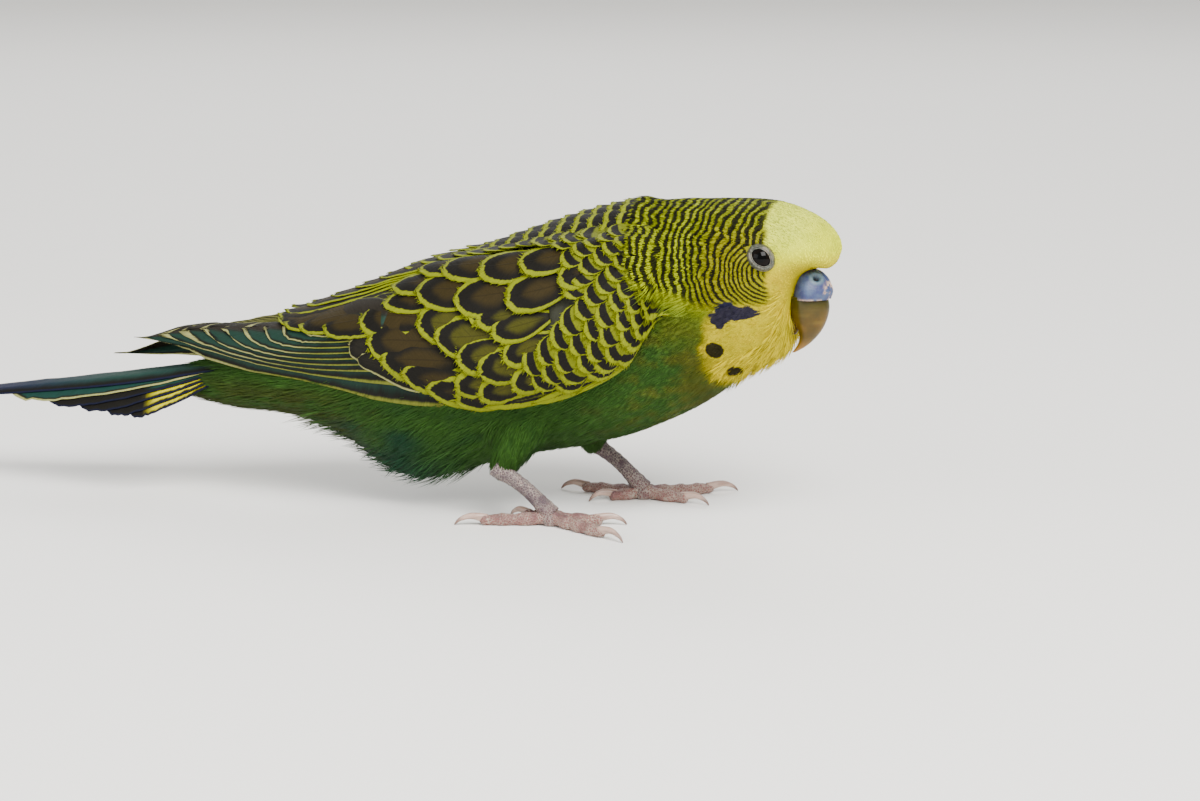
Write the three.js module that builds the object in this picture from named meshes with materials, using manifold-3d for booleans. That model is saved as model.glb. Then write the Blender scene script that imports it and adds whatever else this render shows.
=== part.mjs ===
// A life-size green budgerigar, crouched on both feet with its head turned a little to its right.
// Millimetres, +Z up. The bird faces +X, its left side is +Y, and its feet stand on the floor at z = 0.
// The body is one smooth loft parted by thin cuts. Wings and tail carry their feathers as vanes in tiers.
import * as THREE from "three";
import { mergeVertices } from "three/addons/utils/BufferGeometryUtils.js";
import Module from "manifold-3d";

const wasm = await Module();
wasm.setup();

// Clearances
const GAP = 0.35; // between pieces that touch
const CUT = 0.3; // width of the thin cuts that part the body
const SUNK = 1.2; // how deep a vane's root sits in what carries it

// The body's long line, along X and then turned with the head
const RUMP_END = -78;
const BROW = 52.8; // foremost point of the forehead
const TURN_START = 12;
const TURN_END = 34;
const HEAD_TURN = THREE.MathUtils.degToRad(12); // to the bird's right
const BODY_SIDES = 22;

// Profiles along the long line, each a few landmarks [place, size]
const backLine = profile([
  [RUMP_END, 25.0], [-66, 28.4], [-53, 32.6], [-40, 38.4], [-33, 41.8], [-25, 46.2], [-13, 51.3],
  [0, 56.2], [8, 58.6], [16, 60.4], [25, 61.3], [34, 61.7], [41, 61.3], [47, 59.3], [51, 56.2], [BROW, 52.4],
]);
const bellyLine = profile([
  [RUMP_END, 19.0], [-66, 16.4], [-55, 15.6], [-47, 13.6], [-40, 10.2], [-35, 6.4], [-29, 4.5], [-22, 5.8],
  [-8, 9.6], [6, 12.4], [14, 14.8], [25, 20.2], [34, 27.0], [40, 30.4], [43.4, 34.0], [44.4, 40.5],
  [45.2, 45.0], [46.6, 47.3], [48.5, 48.3], [51, 48.3], [52.2, 50.0], [BROW, 52.4],
]);
const bodyWidth = profile([
  [RUMP_END, 5.5], [-66, 8.0], [-53, 10.8], [-40, 13.6], [-25, 16.0], [-8, 17.2], [5, 17.2], [14, 15.8],
  [22, 14.4], [30, 13.9], [37, 13.7], [41, 12.9], [43.5, 11.4], [45.5, 10.3], [48, 8.8], [51, 5.8],
  [52.3, 3.0], [BROW, 0.4],
]);
const widestLevel = profile([
  [RUMP_END, 21.5], [-50, 24.0], [-25, 28.5], [0, 34.5], [14, 38.8], [26, 43.0], [36, 45.5], [42, 47.6],
  [45, 50.2], [48, 52.2], [51, 52.8], [BROW, 52.4],
]);
const lowerRoundness = profile([
  [RUMP_END, 2.0], [28, 2.0], [36, 2.1], [40, 1.95], [43, 1.7], [44.5, 1.6], [46, 1.7], [BROW, 2.0],
]);

// Where the body is parted: place on the long line, level, and lean of the cut
const HEAD_CUT = { s: 25, z: 42, lean: 24 };
const NECK_CUT = { s: 11, z: 38, lean: 26 };
const BREAST_CUT = { s: -13, z: 30, lean: 16 };
const BELLY_CUT = { s: -42, z: 24, lean: -6 };
const TAIL_CUT = { s: -64, z: 22, lean: -8 };

// The folded wing lies over the body: its own top, width and widest level, its hem and its ridge
const WING_FRONT = 24;
const WING_TIP = -84;
const wingTop = profile([
  [WING_TIP, 31.6], [-79, 33.4], [-72, 35.2], [-63, 36.0], [-53, 37.2], [-43, 40.8], [-33, 45.0],
  [-19, 51.4], [0, 58.4], [14, 62.4], [WING_FRONT, 63.4],
]);
const wingWidth = profile([
  [WING_TIP, 5.2], [-71, 8.8], [-60, 12.0], [-48, 15.6], [-33, 18.8], [-17, 20.4], [5, 20.6], [14, 20.0],
  [20, 18.8], [WING_FRONT, 16.8],
]);
const wingLevel = profile([
  [WING_TIP, 30.2], [-71, 28.7], [-60, 27.4], [-48, 27.0], [-33, 28.4], [-20, 31.0], [0, 35.5], [14, 39.5],
  [WING_FRONT, 42.0],
]);
const wingHem = profile([
  [WING_TIP, 30.0], [-71, 28.2], [-60, 26.8], [-48, 26.4], [-33, 26.6], [-24, 24.2], [-17, 22.2], [-8, 22.0],
  [3, 24.0], [14, 29.0], [20, 34.0], [WING_FRONT, 39.5],
]);
const wingRidge = profile([
  [WING_TIP, 3.6], [-72, 1.0], [-34, 0.6], [-24, 3.0], [-12, 6.2], [0, 9.2], [14, 12.2], [WING_FRONT, 12.0],
]);
const WING_CORE_END = -47;
const WING_CORE_DEPTH = 6.0;
const CORE_UNDER = 1.3; // the vanes' faces lie over the core by this much
const HEM_THIN = 1.0;
const SHOULDER_TUCK = 2.0;
const RIDGE_TUCK = 2.2;
const LEFT_TIP_DROP = 5.0; // the left wing's tip hangs lower and reaches further back
const LEFT_TIP_REACH = 8.0;
const DROP_START = -57;

// Tail
const TAIL_TIP = -150;
const tailTop = profile([[TAIL_TIP, 14.2], [-116, 19.2], [-90, 22.9], [-77, 25.0], [-60, 27.4]]);
const TAIL_CAMBER = 0.014;
const TAIL_PAIRS = [
  { tip: TAIL_TIP, width: 8.0, spread: 1.2, pointed: true },
  { tip: -112, width: 9.0, spread: 2.6 },
  { tip: -104, width: 9.0, spread: 4.0 },
  { tip: -97, width: 8.6, spread: 5.4 },
  { tip: -91, width: 8.0, spread: 6.6 },
  { tip: -86, width: 7.0, spread: 7.6 },
];
const TAIL_ROOT = -66;
const VANE_THICK = 0.62;
const LAYER = 0.45; // from one vane's face to the next one's

// Head: bill, cere and eye, as distances from the bill's root on the head's own middle plane
const BILL_ROOT = { s: 50.1, z: 43.2 };
const BILL_LONG = 10.2;
const BILL_HALF_WIDTH = 3.4;
const EYE = { s: 41.5, z: 51.5, out: 9.6, radius: 3.2 };
const LID = { radius: 2.35, tube: 0.6 };
const NOSTRIL = { ahead: -0.9, up: 4.1, out: 1.8, radius: 0.62 };

// Legs and feet. Each foot's toes are numbered from the inner hind toe outwards, as birds' toes are.
const FOOT_JOINT_HEIGHT = 2.5;
const TOE_RADIUS = 1.25;
const TOE_FLAT = 0.25; // cut from the sole, which makes the flats that rest on the floor
const LEGS = {
  right: { side: -1, hip: [-3, 5, 23], ankle: [-11, 12.6, 9.0], joint: [0, 13] },
  left: { side: 1, hip: [5, 5, 24], ankle: [0.6, 12.6, 9.8], joint: [11.4, 13] },
};
const TOES = [
  { name: "toe_1", heading: 150, long: 7.0, claw: 4.0, beside: 194 },
  { name: "toe_2", heading: 14, long: 9.5, claw: 4.4, beside: -34 },
  { name: "toe_3", heading: -34, long: 14.5, claw: 5.0, beside: 14 },
  { name: "toe_4", heading: 194, long: 13.5, claw: 4.6, beside: 150 },
];

// Finishes
const finishes = {
  green: { color: 0x3f7a2e, roughness: 0.85 },
  face: { color: 0xe6df2c, roughness: 0.85 },
  nape: { color: 0x8f9a2a, roughness: 0.85 },
  wing: { color: 0x6e7426, roughness: 0.7 },
  tail: { color: 0x1f3d52, roughness: 0.65 },
  skin: { color: 0xa48488, roughness: 0.6 },
  claw: { color: 0xb89a86, roughness: 0.4 },
  bill: { color: 0xa8912a, roughness: 0.35 },
  cere: { color: 0x6c7fc0, roughness: 0.45 },
  eye: { color: 0x14110f, roughness: 0.05 },
};

// Smooth value through a few landmarks [place, size], by cubic Hermite spans
function profile(points) {
  const slope = points.map((p, i) => {
    const a = points[Math.max(i - 1, 0)];
    const b = points[Math.min(i + 1, points.length - 1)];
    return (b[1] - a[1]) / (b[0] - a[0]);
  });
  return (place) => {
    const x = THREE.MathUtils.clamp(place, points[0][0], points.at(-1)[0]);
    let i = 0;
    while (i < points.length - 2 && x > points[i + 1][0]) i += 1;
    const [x0, y0] = points[i];
    const [x1, y1] = points[i + 1];
    const span = x1 - x0;
    const t = (x - x0) / span;
    const rise = t * t * (3 - 2 * t);
    const start = t * (1 - t) * (1 - t) * slope[i];
    const end = t * t * (t - 1) * slope[i + 1];
    return y0 + (y1 - y0) * rise + (start + end) * span;
  };
}

// Solids: a geometry with merged vertices becomes a manifold, and a manifold a geometry again
function solid(geometry) {
  const bare = new THREE.BufferGeometry();
  bare.setAttribute("position", geometry.getAttribute("position"));
  bare.setIndex(geometry.index);
  const merged = mergeVertices(bare, 1e-4);
  return new wasm.Manifold(new wasm.Mesh({
    numProp: 3,
    vertProperties: merged.attributes.position.array,
    triVerts: new Uint32Array(merged.index.array),
  }));
}

function geometryOf(body) {
  const mesh = body.getMesh();
  const geometry = new THREE.BufferGeometry();
  geometry.setAttribute("position", new THREE.BufferAttribute(mesh.vertProperties, 3));
  geometry.setIndex(new THREE.BufferAttribute(mesh.triVerts, 1));
  const flat = geometry.toNonIndexed();
  flat.computeVertexNormals();
  return flat;
}

function join(bodies) {
  return bodies.reduce((whole, body) => whole.add(body));
}

function largest(body) {
  return body.decompose().reduce((a, b) => (a.volume() > b.volume() ? a : b));
}

// A closed skin over rings of equal length, with a fan over each end
function loft(rings) {
  const count = rings[0].length;
  const points = rings.flat();
  const faces = [];
  for (let r = 0; r < rings.length - 1; r += 1) {
    for (let i = 0; i < count; i += 1) {
      const a = r * count + i;
      const b = r * count + ((i + 1) % count);
      faces.push(a, b, b + count, a, b + count, a + count);
    }
  }
  const ends = [[rings[0], 0, false], [rings.at(-1), (rings.length - 1) * count, true]];
  for (const [ring, first, ahead] of ends) {
    const centre = ring.reduce((sum, p) => sum.add(p), new THREE.Vector3()).divideScalar(count);
    points.push(centre);
    for (let i = 0; i < count; i += 1) {
      const a = first + i;
      const b = first + ((i + 1) % count);
      faces.push(points.length - 1, ...(ahead ? [a, b] : [b, a]));
    }
  }
  return closed(points, faces);
}

// The solid with these points and faces, turned right side out
function closed(points, faces) {
  const geometry = new THREE.BufferGeometry().setFromPoints(points);
  geometry.setIndex(faces);
  const body = solid(geometry);
  if (body.volume() > 0) return body;
  for (let i = 0; i < faces.length; i += 3) [faces[i + 1], faces[i + 2]] = [faces[i + 2], faces[i + 1]];
  geometry.setIndex(faces);
  return solid(geometry);
}

// A round tube whose radius follows its length, along a three.js curve
function tube(path, radiusAt, steps, sides) {
  const frames = path.computeFrenetFrames(steps, false);
  const rings = [];
  for (let i = 0; i <= steps; i += 1) {
    const centre = path.getPointAt(i / steps);
    const radius = radiusAt(i / steps);
    rings.push(Array.from({ length: sides }, (_, k) => {
      const a = (2 * Math.PI * k) / sides;
      return centre.clone()
        .addScaledVector(frames.normals[i], radius * Math.cos(a))
        .addScaledVector(frames.binormals[i], radius * Math.sin(a));
    }));
  }
  return loft(rings);
}

function ball(radius, centre, detail = 16) {
  const sphere = new THREE.SphereGeometry(radius, detail, Math.ceil(detail * 0.7));
  sphere.translate(centre.x, centre.y, centre.z);
  return solid(sphere);
}

// The long line seen from above, and the direction to the bird's right
function heading(s) {
  return -HEAD_TURN * THREE.MathUtils.smoothstep(s, TURN_START, TURN_END);
}

function spineAt(s) {
  if (s <= TURN_START) return new THREE.Vector3(s, 0, 0);
  const at = new THREE.Vector3(TURN_START, 0, 0);
  const steps = 40;
  const step = (s - TURN_START) / steps;
  for (let i = 0; i < steps; i += 1) {
    const h = heading(TURN_START + (i + 0.5) * step);
    at.x += Math.cos(h) * step;
    at.y += Math.sin(h) * step;
  }
  return at;
}

// A point of the bird: s along the long line, out to its right, and z above the floor
function place(s, out, z) {
  const h = heading(s);
  const at = spineAt(s);
  return new THREE.Vector3(at.x + Math.sin(h) * out, at.y - Math.cos(h) * out, z);
}

// A point on a cross-section: the angle runs from the right flank, 0, over the back, a quarter turn
function sectionPoint(s, angle, width, top, level, bottom, roundness) {
  const c = Math.cos(angle);
  const n = Math.sin(angle);
  const power = n < 0 ? 2 / roundness : 1;
  const out = width * Math.sign(c) * Math.abs(c) ** power;
  const z = n < 0 ? level - (level - bottom) * Math.abs(n) ** power : level + (top - level) * n;
  return place(s, out, z);
}

function bodyRing(s, grow) {
  return Array.from({ length: BODY_SIDES }, (_, k) => sectionPoint(
    s, (2 * Math.PI * k) / BODY_SIDES, bodyWidth(s) + grow, backLine(s) + grow, widestLevel(s),
    bellyLine(s) - grow, lowerRoundness(s),
  ));
}

function bodySolid(grow = 0) {
  const stations = [];
  for (let s = RUMP_END; s < 38; s += 4.8) stations.push(s);
  const steps = 9;
  for (let i = 0; i < steps; i += 1) stations.push(38 + (BROW - 38) * Math.sin((i / steps) * (Math.PI / 2)));
  stations.push(BROW);
  return loft(stations.map((s) => bodyRing(s, grow)));
}

// The part of a body ahead of a leaning cut, or behind it
function sliced(body, cut, ahead) {
  const lean = THREE.MathUtils.degToRad(cut.lean);
  const h = heading(cut.s);
  const normal = new THREE.Vector3(Math.cos(h) * Math.cos(lean), Math.sin(h) * Math.cos(lean), Math.sin(lean));
  if (!ahead) normal.negate();
  const offset = normal.dot(place(cut.s, 0, cut.z)) + CUT / 2;
  return body.trimByPlane(normal.toArray(), offset);
}

// Wings: a chart over the folded right wing, q from the hem, 0, to the ridge, 1, lifted by h
function wingAngles(s) {
  const level = wingLevel(s);
  const hem = wingHem(s);
  const below = level - Math.min(bellyLine(s), hem - 6);
  const low = hem < level ? -Math.asin((level - hem) / below) : 0;
  const high = Math.acos(THREE.MathUtils.clamp(wingRidge(s) / wingWidth(s), 0, 1));
  return { low, high, bottom: level - below };
}

function wingSkin(s, q) {
  const { low, high, bottom } = wingAngles(s);
  return sectionPoint(s, low + (high - low) * q, wingWidth(s), wingTop(s), wingLevel(s), bottom, 2);
}

function wingPoint(s, q, h) {
  const at = wingSkin(s, q);
  const along = wingSkin(s + 0.5, q).sub(wingSkin(s - 0.5, q));
  const up = wingSkin(s, q + 0.02).sub(wingSkin(s, q - 0.02));
  const normal = along.cross(up).normalize();
  if (normal.dot(new THREE.Vector3(0, -1, 0.6)) < 0) normal.negate();
  const thin = HEM_THIN * (1 - THREE.MathUtils.smoothstep(q, 0, 0.16));
  const front = SHOULDER_TUCK * THREE.MathUtils.smoothstep(s, 15, WING_FRONT);
  const ridge = RIDGE_TUCK * THREE.MathUtils.smoothstep(q, 0.8, 1) * THREE.MathUtils.smoothstep(s, -30, -12);
  return at.addScaledVector(normal, h - thin - front - ridge);
}

// A vane follows its middle line over a surface. Rows run from root to tip.
const FLIGHT_OUTLINE = [[0, 0.5], [0.4, 0.95], [0.75, 1], [0.93, 0.7], [1, 0.2]];
const COVERT_OUTLINE = [[0, 0.6], [0.5, 1], [0.85, 0.86], [1, 0.36]];
const POINTED_OUTLINE = [[0, 0.8], [0.25, 1], [0.6, 0.88], [0.88, 0.5], [1, 0.08]];

function vane(pointAt, outline, columns, thick = VANE_THICK) {
  const rows = outline.length;
  const points = [];
  const faces = [];
  const across = Array.from({ length: columns }, (_, i) => (2 * i) / (columns - 1) - 1);
  for (const face of [1, 0]) {
    for (const [v, wide] of outline) {
      for (const u of across) points.push(pointAt(v, u * wide, face * thick * (1 - 0.2 * v)));
    }
  }
  const under = rows * columns;
  const quad = (a, b, c, d) => faces.push(a, b, c, a, c, d);
  for (let r = 0; r < rows - 1; r += 1) {
    for (let u = 0; u < columns - 1; u += 1) {
      const a = r * columns + u;
      const b = a + columns;
      quad(a, a + 1, b + 1, b);
      faces.push(under + a, under + b + 1, under + a + 1, under + a, under + b, under + b + 1);
    }
    const left = r * columns;
    const right = left + columns - 1;
    quad(left + columns, under + left + columns, under + left, left);
    quad(right, under + right, under + right + columns, right + columns);
  }
  const last = (rows - 1) * columns;
  for (let u = 0; u < columns - 1; u += 1) {
    quad(u, under + u, under + u + 1, u + 1);
    quad(last + u + 1, under + last + u + 1, under + last + u, last + u);
  }
  return closed(points, faces);
}

// How far one unit of q reaches across the wing at a place
function wingSpan(s, q) {
  const low = THREE.MathUtils.clamp(q - 0.05, 0, 0.9);
  return wingSkin(s, low).distanceTo(wingSkin(s, low + 0.1)) / 0.1;
}

// A vane on the wing's chart, from root [s, q] to tip [s, q], lifted by depth(v), its lower edge raised
function wingVane({ root, tip, width, depth, outline, columns, tilt = 0.2 }) {
  return vane((v, u, h) => {
    const s = THREE.MathUtils.lerp(root[0], tip[0], v);
    const q = THREE.MathUtils.lerp(root[1], tip[1], v) + (u * width) / 2 / wingSpan(s, tip[1]);
    return wingPoint(s, q, depth(v) - u * tilt + h);
  }, outline, columns);
}

// Seeded variation, between -1 and 1
function variation(seed) {
  const x = Math.sin(seed * 12.9898) * 43758.5453;
  return 2 * (x - Math.floor(x)) - 1;
}

// The primaries' tips step back evenly, the outermost longest and lowest. Each inner one lies over the next.
function primaries() {
  const count = 8;
  return Array.from({ length: count }, (_, k) => {
    const t = k / (count - 1);
    const tip = [THREE.MathUtils.lerp(WING_TIP, -50, t ** 0.95), THREE.MathUtils.lerp(0.46, 0.98, t ** 0.7)];
    const root = [THREE.MathUtils.lerp(-26, -38, t), THREE.MathUtils.lerp(0.15, 0.7, t)];
    const long = root[0] - tip[0];
    const depth = (v) => -VANE_THICK - LAYER * Math.min(count - 1 - k, ((1 - v) * long) / 5);
    return wingVane({ root, tip, width: 8.8, depth, outline: FLIGHT_OUTLINE, columns: 2, tilt: 0.1 });
  });
}

// Tiers of shorter vanes, from the rear forwards: each tier's tips lie over the roots behind it
const WING_TIERS = [
  { count: 4, root: [-29, -15], tip: [-52, -34], q: [0.84, 0.98], rise: 0.14, width: 7.6 },
  { count: 5, root: [-6, -24], tip: [-19, -38], q: [0.1, 0.66], rise: 0, width: 8.4 },
  { count: 4, root: [-1, -13], tip: [-11, -25], q: [0.1, 0.66], rise: 0, width: 9.4 },
  { count: 2, root: [-12, -8], tip: [-25, -20], q: [0.82, 0.98], rise: 0.02, width: 9.0 },
  { count: 4, root: [7, -3], tip: [-3, -13], q: [0.1, 0.66], rise: 0, width: 9.6 },
  { count: 2, root: [-2, 2], tip: [-14, -10], q: [0.82, 0.97], rise: 0.02, width: 8.6 },
  { count: 4, root: [15, 7], tip: [6, -3], q: [0.1, 0.66], rise: 0, width: 9.4 },
  { count: 2, root: [8, 11], tip: [-3, 1], q: [0.82, 0.97], rise: 0.02, width: 8.4 },
  { count: 4, root: [22.5, 18], tip: [14, 8], q: [0.14, 0.84], rise: 0, width: 9.6 },
];

function coverts() {
  return WING_TIERS.flatMap((tier, row) => Array.from({ length: tier.count }, (_, k) => {
    const t = k / (tier.count - 1);
    const q = THREE.MathUtils.lerp(tier.q[0], tier.q[1], t);
    const at = (ends, seed) => THREE.MathUtils.lerp(ends[0], ends[1], t) + 0.4 * variation(seed);
    const depth = (v) => THREE.MathUtils.lerp(-CORE_UNDER - SUNK, -VANE_THICK + 0.06 * (k % 2), v ** 0.7);
    return wingVane({
      root: [at(tier.root, row * 7 + k), q - tier.rise], tip: [at(tier.tip, row * 11 + k), q], width: tier.width,
      depth, outline: COVERT_OUTLINE, columns: 2,
    });
  }));
}

function wingCore() {
  const across = 6;
  const rings = [];
  const stations = 11;
  for (let i = 0; i <= stations; i += 1) {
    const s = THREE.MathUtils.lerp(WING_CORE_END, WING_FRONT - 1, i / stations);
    const outer = [];
    const inner = [];
    const depth = THREE.MathUtils.lerp(1.6, WING_CORE_DEPTH, THREE.MathUtils.smoothstep(s, WING_CORE_END, -25));
    const under = THREE.MathUtils.lerp(3.2, CORE_UNDER, THREE.MathUtils.smoothstep(s, WING_CORE_END, -32));
    const hem = 0.14 * THREE.MathUtils.smoothstep(-s, 18, -WING_CORE_END);
    for (let k = 0; k <= across; k += 1) {
      const q = THREE.MathUtils.lerp(hem, 1, k / across);
      outer.push(wingPoint(s, q, -under));
      inner.unshift(wingPoint(s, q, -under - depth));
    }
    rings.push([...outer, ...inner]);
  }
  return loft(rings);
}

// The left wing is the mirror of the right, its tip a little lower and further back
function leftWing(geometry) {
  const at = geometry.getAttribute("position");
  for (let i = 0; i < at.count; i += 1) {
    const share = THREE.MathUtils.smoothstep(-at.getX(i), -DROP_START, -WING_TIP);
    at.setXYZ(i, at.getX(i) - LEFT_TIP_REACH * share, -at.getY(i), at.getZ(i) - LEFT_TIP_DROP * share);
  }
  const faces = Array.from({ length: at.count }, (_, i) => i - (i % 3) + [0, 2, 1][i % 3]);
  geometry.setIndex(faces);
  return solid(geometry);
}

function wings(clear) {
  const whole = join([wingCore(), ...primaries(), ...coverts()]);
  const right = largest(whole.trimByPlane([0, -1, 0], GAP / 2).subtract(clear));
  const left = largest(leftWing(geometryOf(whole)).trimByPlane([0, 1, 0], GAP / 2).subtract(clear));
  return { right, left };
}

// Tail: a slightly arched fan of six pairs, the middle pair on top and by far the longest
function tailVane(pair, index, side) {
  return vane((v, u, h) => {
    const s = THREE.MathUtils.lerp(TAIL_ROOT, pair.tip, v);
    const y = side * THREE.MathUtils.lerp(1.6, pair.spread, Math.min(1, v * 1.6)) + (u * pair.width) / 2;
    const z = tailTop(s) - TAIL_CAMBER * y * y - index * LAYER - (side > 0 ? LAYER * 0.5 : 0);
    return new THREE.Vector3(s, y, z - VANE_THICK + h);
  }, pair.pointed ? POINTED_OUTLINE : FLIGHT_OUTLINE, 2);
}

// The room that the tail takes, with a clearance over it
function tailClear() {
  const rings = [];
  for (let s = TAIL_TIP; s <= TAIL_ROOT + 6; s += 8) {
    const half = THREE.MathUtils.clamp(4.6 + (s + 116) * 0.35, 4.6, 11.6);
    const over = Array.from({ length: 9 }, (_, i) => half * (1 - i / 4));
    const top = over.map((y) => new THREE.Vector3(s, y, tailTop(s) - TAIL_CAMBER * y * y + GAP + LAYER));
    const bottom = over.map((y) => new THREE.Vector3(s, -y, tailTop(s) - 8));
    rings.push([...top, ...bottom]);
  }
  return loft(rings);
}

function tail(body) {
  const vanes = TAIL_PAIRS.flatMap((pair, i) => [-1, 1].map((side) => tailVane(pair, i, side)));
  return largest(sliced(join([sliced(body, TAIL_CUT, false), ...vanes]), TAIL_CUT, false));
}

// Bill: a stack of level slices, each from its rear edge to its ridge, with the hook curling back under
const billSlices = [
  { down: -0.6, rear: -6.4, ridge: -0.4, wide: 1.0 },
  { down: 1.4, rear: -6.2, ridge: 0.0, wide: 0.98 },
  { down: 3.6, rear: -5.9, ridge: -0.5, wide: 0.84 },
  { down: 5.6, rear: -4.9, ridge: -1.3, wide: 0.62 },
  { down: 7.4, rear: -4.8, ridge: -2.5, wide: 0.4 },
  { down: 9.0, rear: -5.5, ridge: -4.1, wide: 0.2 },
  { down: BILL_LONG, rear: -6.4, ridge: -5.8, wide: 0.07 },
];

function sliceRing({ down, rear, ridge, wide }, grow = 0) {
  const sides = 12;
  const middle = (rear + ridge) / 2;
  const half = (ridge - rear) / 2 + grow;
  return Array.from({ length: sides }, (_, k) => {
    const a = (2 * Math.PI * k) / sides;
    const out = (BILL_HALF_WIDTH * wide + grow) * Math.sin(a) * (1 - 0.28 * Math.max(0, Math.cos(a)));
    return place(BILL_ROOT.s + middle + half * Math.cos(a), out, BILL_ROOT.z - down);
  });
}

function upperBill() {
  return loft(billSlices.map((slice) => sliceRing(slice)));
}

function lowerBill(grow = 0) {
  const slices = [
    { down: 1.6 - grow, rear: -10.4, ridge: -5.0, wide: 0.8 },
    { down: 3.6, rear: -10.0, ridge: -4.5, wide: 0.78 },
    { down: 5.4, rear: -9.4, ridge: -4.8, wide: 0.66 },
    { down: 6.8 + grow, rear: -8.4, ridge: -5.4, wide: 0.42 },
  ];
  return loft(slices.map((slice) => sliceRing(slice, grow)));
}

function cere(grow = 0) {
  const slices = [
    { down: -0.1, rear: -6.0, ridge: 0.9, wide: 1.2 },
    { down: -1.6, rear: -5.8, ridge: 1.3, wide: 1.24 },
    { down: -3.2, rear: -5.4, ridge: 0.7, wide: 1.08 },
    { down: -4.6, rear: -4.8, ridge: -0.5, wide: 0.78 },
    { down: -5.5, rear: -4.0, ridge: -1.9, wide: 0.36 },
  ];
  return loft(slices.map((slice) => sliceRing(slice, grow)));
}

function nostrils() {
  return [-1, 1].map((side) => ball(
    NOSTRIL.radius,
    place(BILL_ROOT.s + NOSTRIL.ahead, side * NOSTRIL.out, BILL_ROOT.z + NOSTRIL.up),
    7,
  ));
}

function eyeCentre(side) {
  return place(EYE.s, side * EYE.out, EYE.z);
}

function lidRing(side) {
  const ring = new THREE.TorusGeometry(LID.radius, LID.tube, 5, 14);
  const out = place(EYE.s, side, 0).sub(place(EYE.s, 0, 0)).add(new THREE.Vector3(0.22, 0, 0.12)).normalize();
  ring.applyQuaternion(new THREE.Quaternion().setFromUnitVectors(new THREE.Vector3(0, 0, 1), out));
  const centre = eyeCentre(side).addScaledVector(out, EYE.radius - 0.5);
  ring.translate(centre.x, centre.y, centre.z);
  return solid(ring);
}

function head(front, pieces) {
  let body = sliced(front, HEAD_CUT, true);
  for (const side of [-1, 1]) {
    body = body.add(lidRing(side)).subtract(ball(EYE.radius + GAP, eyeCentre(side), 12));
  }
  return largest(pieces.reduce((rest, piece) => rest.subtract(piece), body));
}

// Legs
function thigh(leg, bodyClear) {
  const at = (p) => new THREE.Vector3(p[0], leg.side * p[1], p[2]);
  const [x, y, z] = leg.ankle;
  const path = new THREE.CatmullRomCurve3([
    at(leg.hip), at([(leg.hip[0] + x) / 2 - 0.5, leg.hip[1] + 4.4, 15.5]), at([x + 0.6, y, z - 0.4]),
  ]);
  const whole = tube(path, (t) => 2.3 + 6.2 * (1 - t) ** 0.9, 8, 14);
  return largest(whole.subtract(bodyClear));
}

function shankPath(leg) {
  const ankle = new THREE.Vector3(leg.ankle[0], leg.side * leg.ankle[1], leg.ankle[2] + 1.4);
  const joint = new THREE.Vector3(leg.joint[0], leg.side * leg.joint[1], FOOT_JOINT_HEIGHT - 0.6);
  const middle = ankle.clone().lerp(joint, 0.5).add(new THREE.Vector3(0.4, 0, 0.5));
  return new THREE.CatmullRomCurve3([ankle, middle, joint]);
}

function footPad(leg, grow = 0) {
  const centre = new THREE.Vector3(leg.joint[0], leg.side * leg.joint[1], 1.7);
  return ball(2.1 + grow, centre, 8);
}

function shank(leg, thighClear, bodyClear) {
  const bone = tube(shankPath(leg), (t) => 1.4 + 0.4 * Math.cos(Math.PI * t) ** 4, 7, 9);
  return largest(bone.add(footPad(leg)).subtract(thighClear).subtract(bodyClear).trimByPlane([0, 0, 1], 0));
}

// The level direction of a toe: 0 is ahead, and a positive heading turns towards the other foot
function towards(leg, degrees) {
  const turn = THREE.MathUtils.degToRad(degrees);
  return new THREE.Vector3(Math.cos(turn), -leg.side * Math.sin(turn), 0);
}

function toePath(leg, toe) {
  const along = towards(leg, toe.heading);
  const start = new THREE.Vector3(leg.joint[0], leg.side * leg.joint[1], TOE_RADIUS - TOE_FLAT);
  const level = (d, z) => start.clone().addScaledVector(along, d).setZ(z);
  const low = TOE_RADIUS - TOE_FLAT;
  return {
    toe: new THREE.CatmullRomCurve3([level(0.6, low + 0.5), level(toe.long * 0.4, low + 0.1), level(toe.long, low)]),
    claw: new THREE.CatmullRomCurve3([
      level(toe.long - 1.4, low + 0.3), level(toe.long + toe.claw * 0.35, low + 0.75),
      level(toe.long + toe.claw * 0.8, low + 0.05), level(toe.long + toe.claw, 0.12),
    ]),
  };
}

function toePads(toe) {
  const pads = Math.round(toe.long / 4);
  const rounded = (t) => Math.sqrt(Math.max(0.05, 1 - THREE.MathUtils.clamp((t - 0.86) / 0.14, 0, 1) ** 2));
  return (t) => TOE_RADIUS * rounded(t) * (1.04 - 0.2 * t + 0.1 * Math.cos(2 * Math.PI * pads * t));
}

function feet(leg, shankClear) {
  const toes = {};
  for (const toe of TOES) {
    const paths = toePath(leg, toe);
    const claw = tube(paths.claw, (t) => 0.78 * (1 - t) ** 0.7 + 0.12, 5, 5);
    const clawClear = tube(paths.claw, (t) => 0.78 * (1 - t) ** 0.7 + 0.12 + GAP, 5, 5);
    const digit = tube(paths.toe, toePads(toe), Math.round(toe.long * 0.55) + 2, 6);
    const joint = new THREE.Vector3(leg.joint[0], leg.side * leg.joint[1], 0);
    const apart = towards(leg, toe.heading).sub(towards(leg, toe.beside)).normalize();
    const body = digit.subtract(clawClear).subtract(shankClear)
      .trimByPlane(apart.toArray(), apart.dot(joint) + GAP / 2)
      .trimByPlane([0, 0, 1], 0);
    toes[toe.name] = largest(body);
    const clawBody = claw.trimByPlane([0, 0, 1], 0);
    toes[toe.name.replace("toe", "claw")] = largest(clawBody);
  }
  return toes;
}

// Put together
const bird = new THREE.Group();

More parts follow.
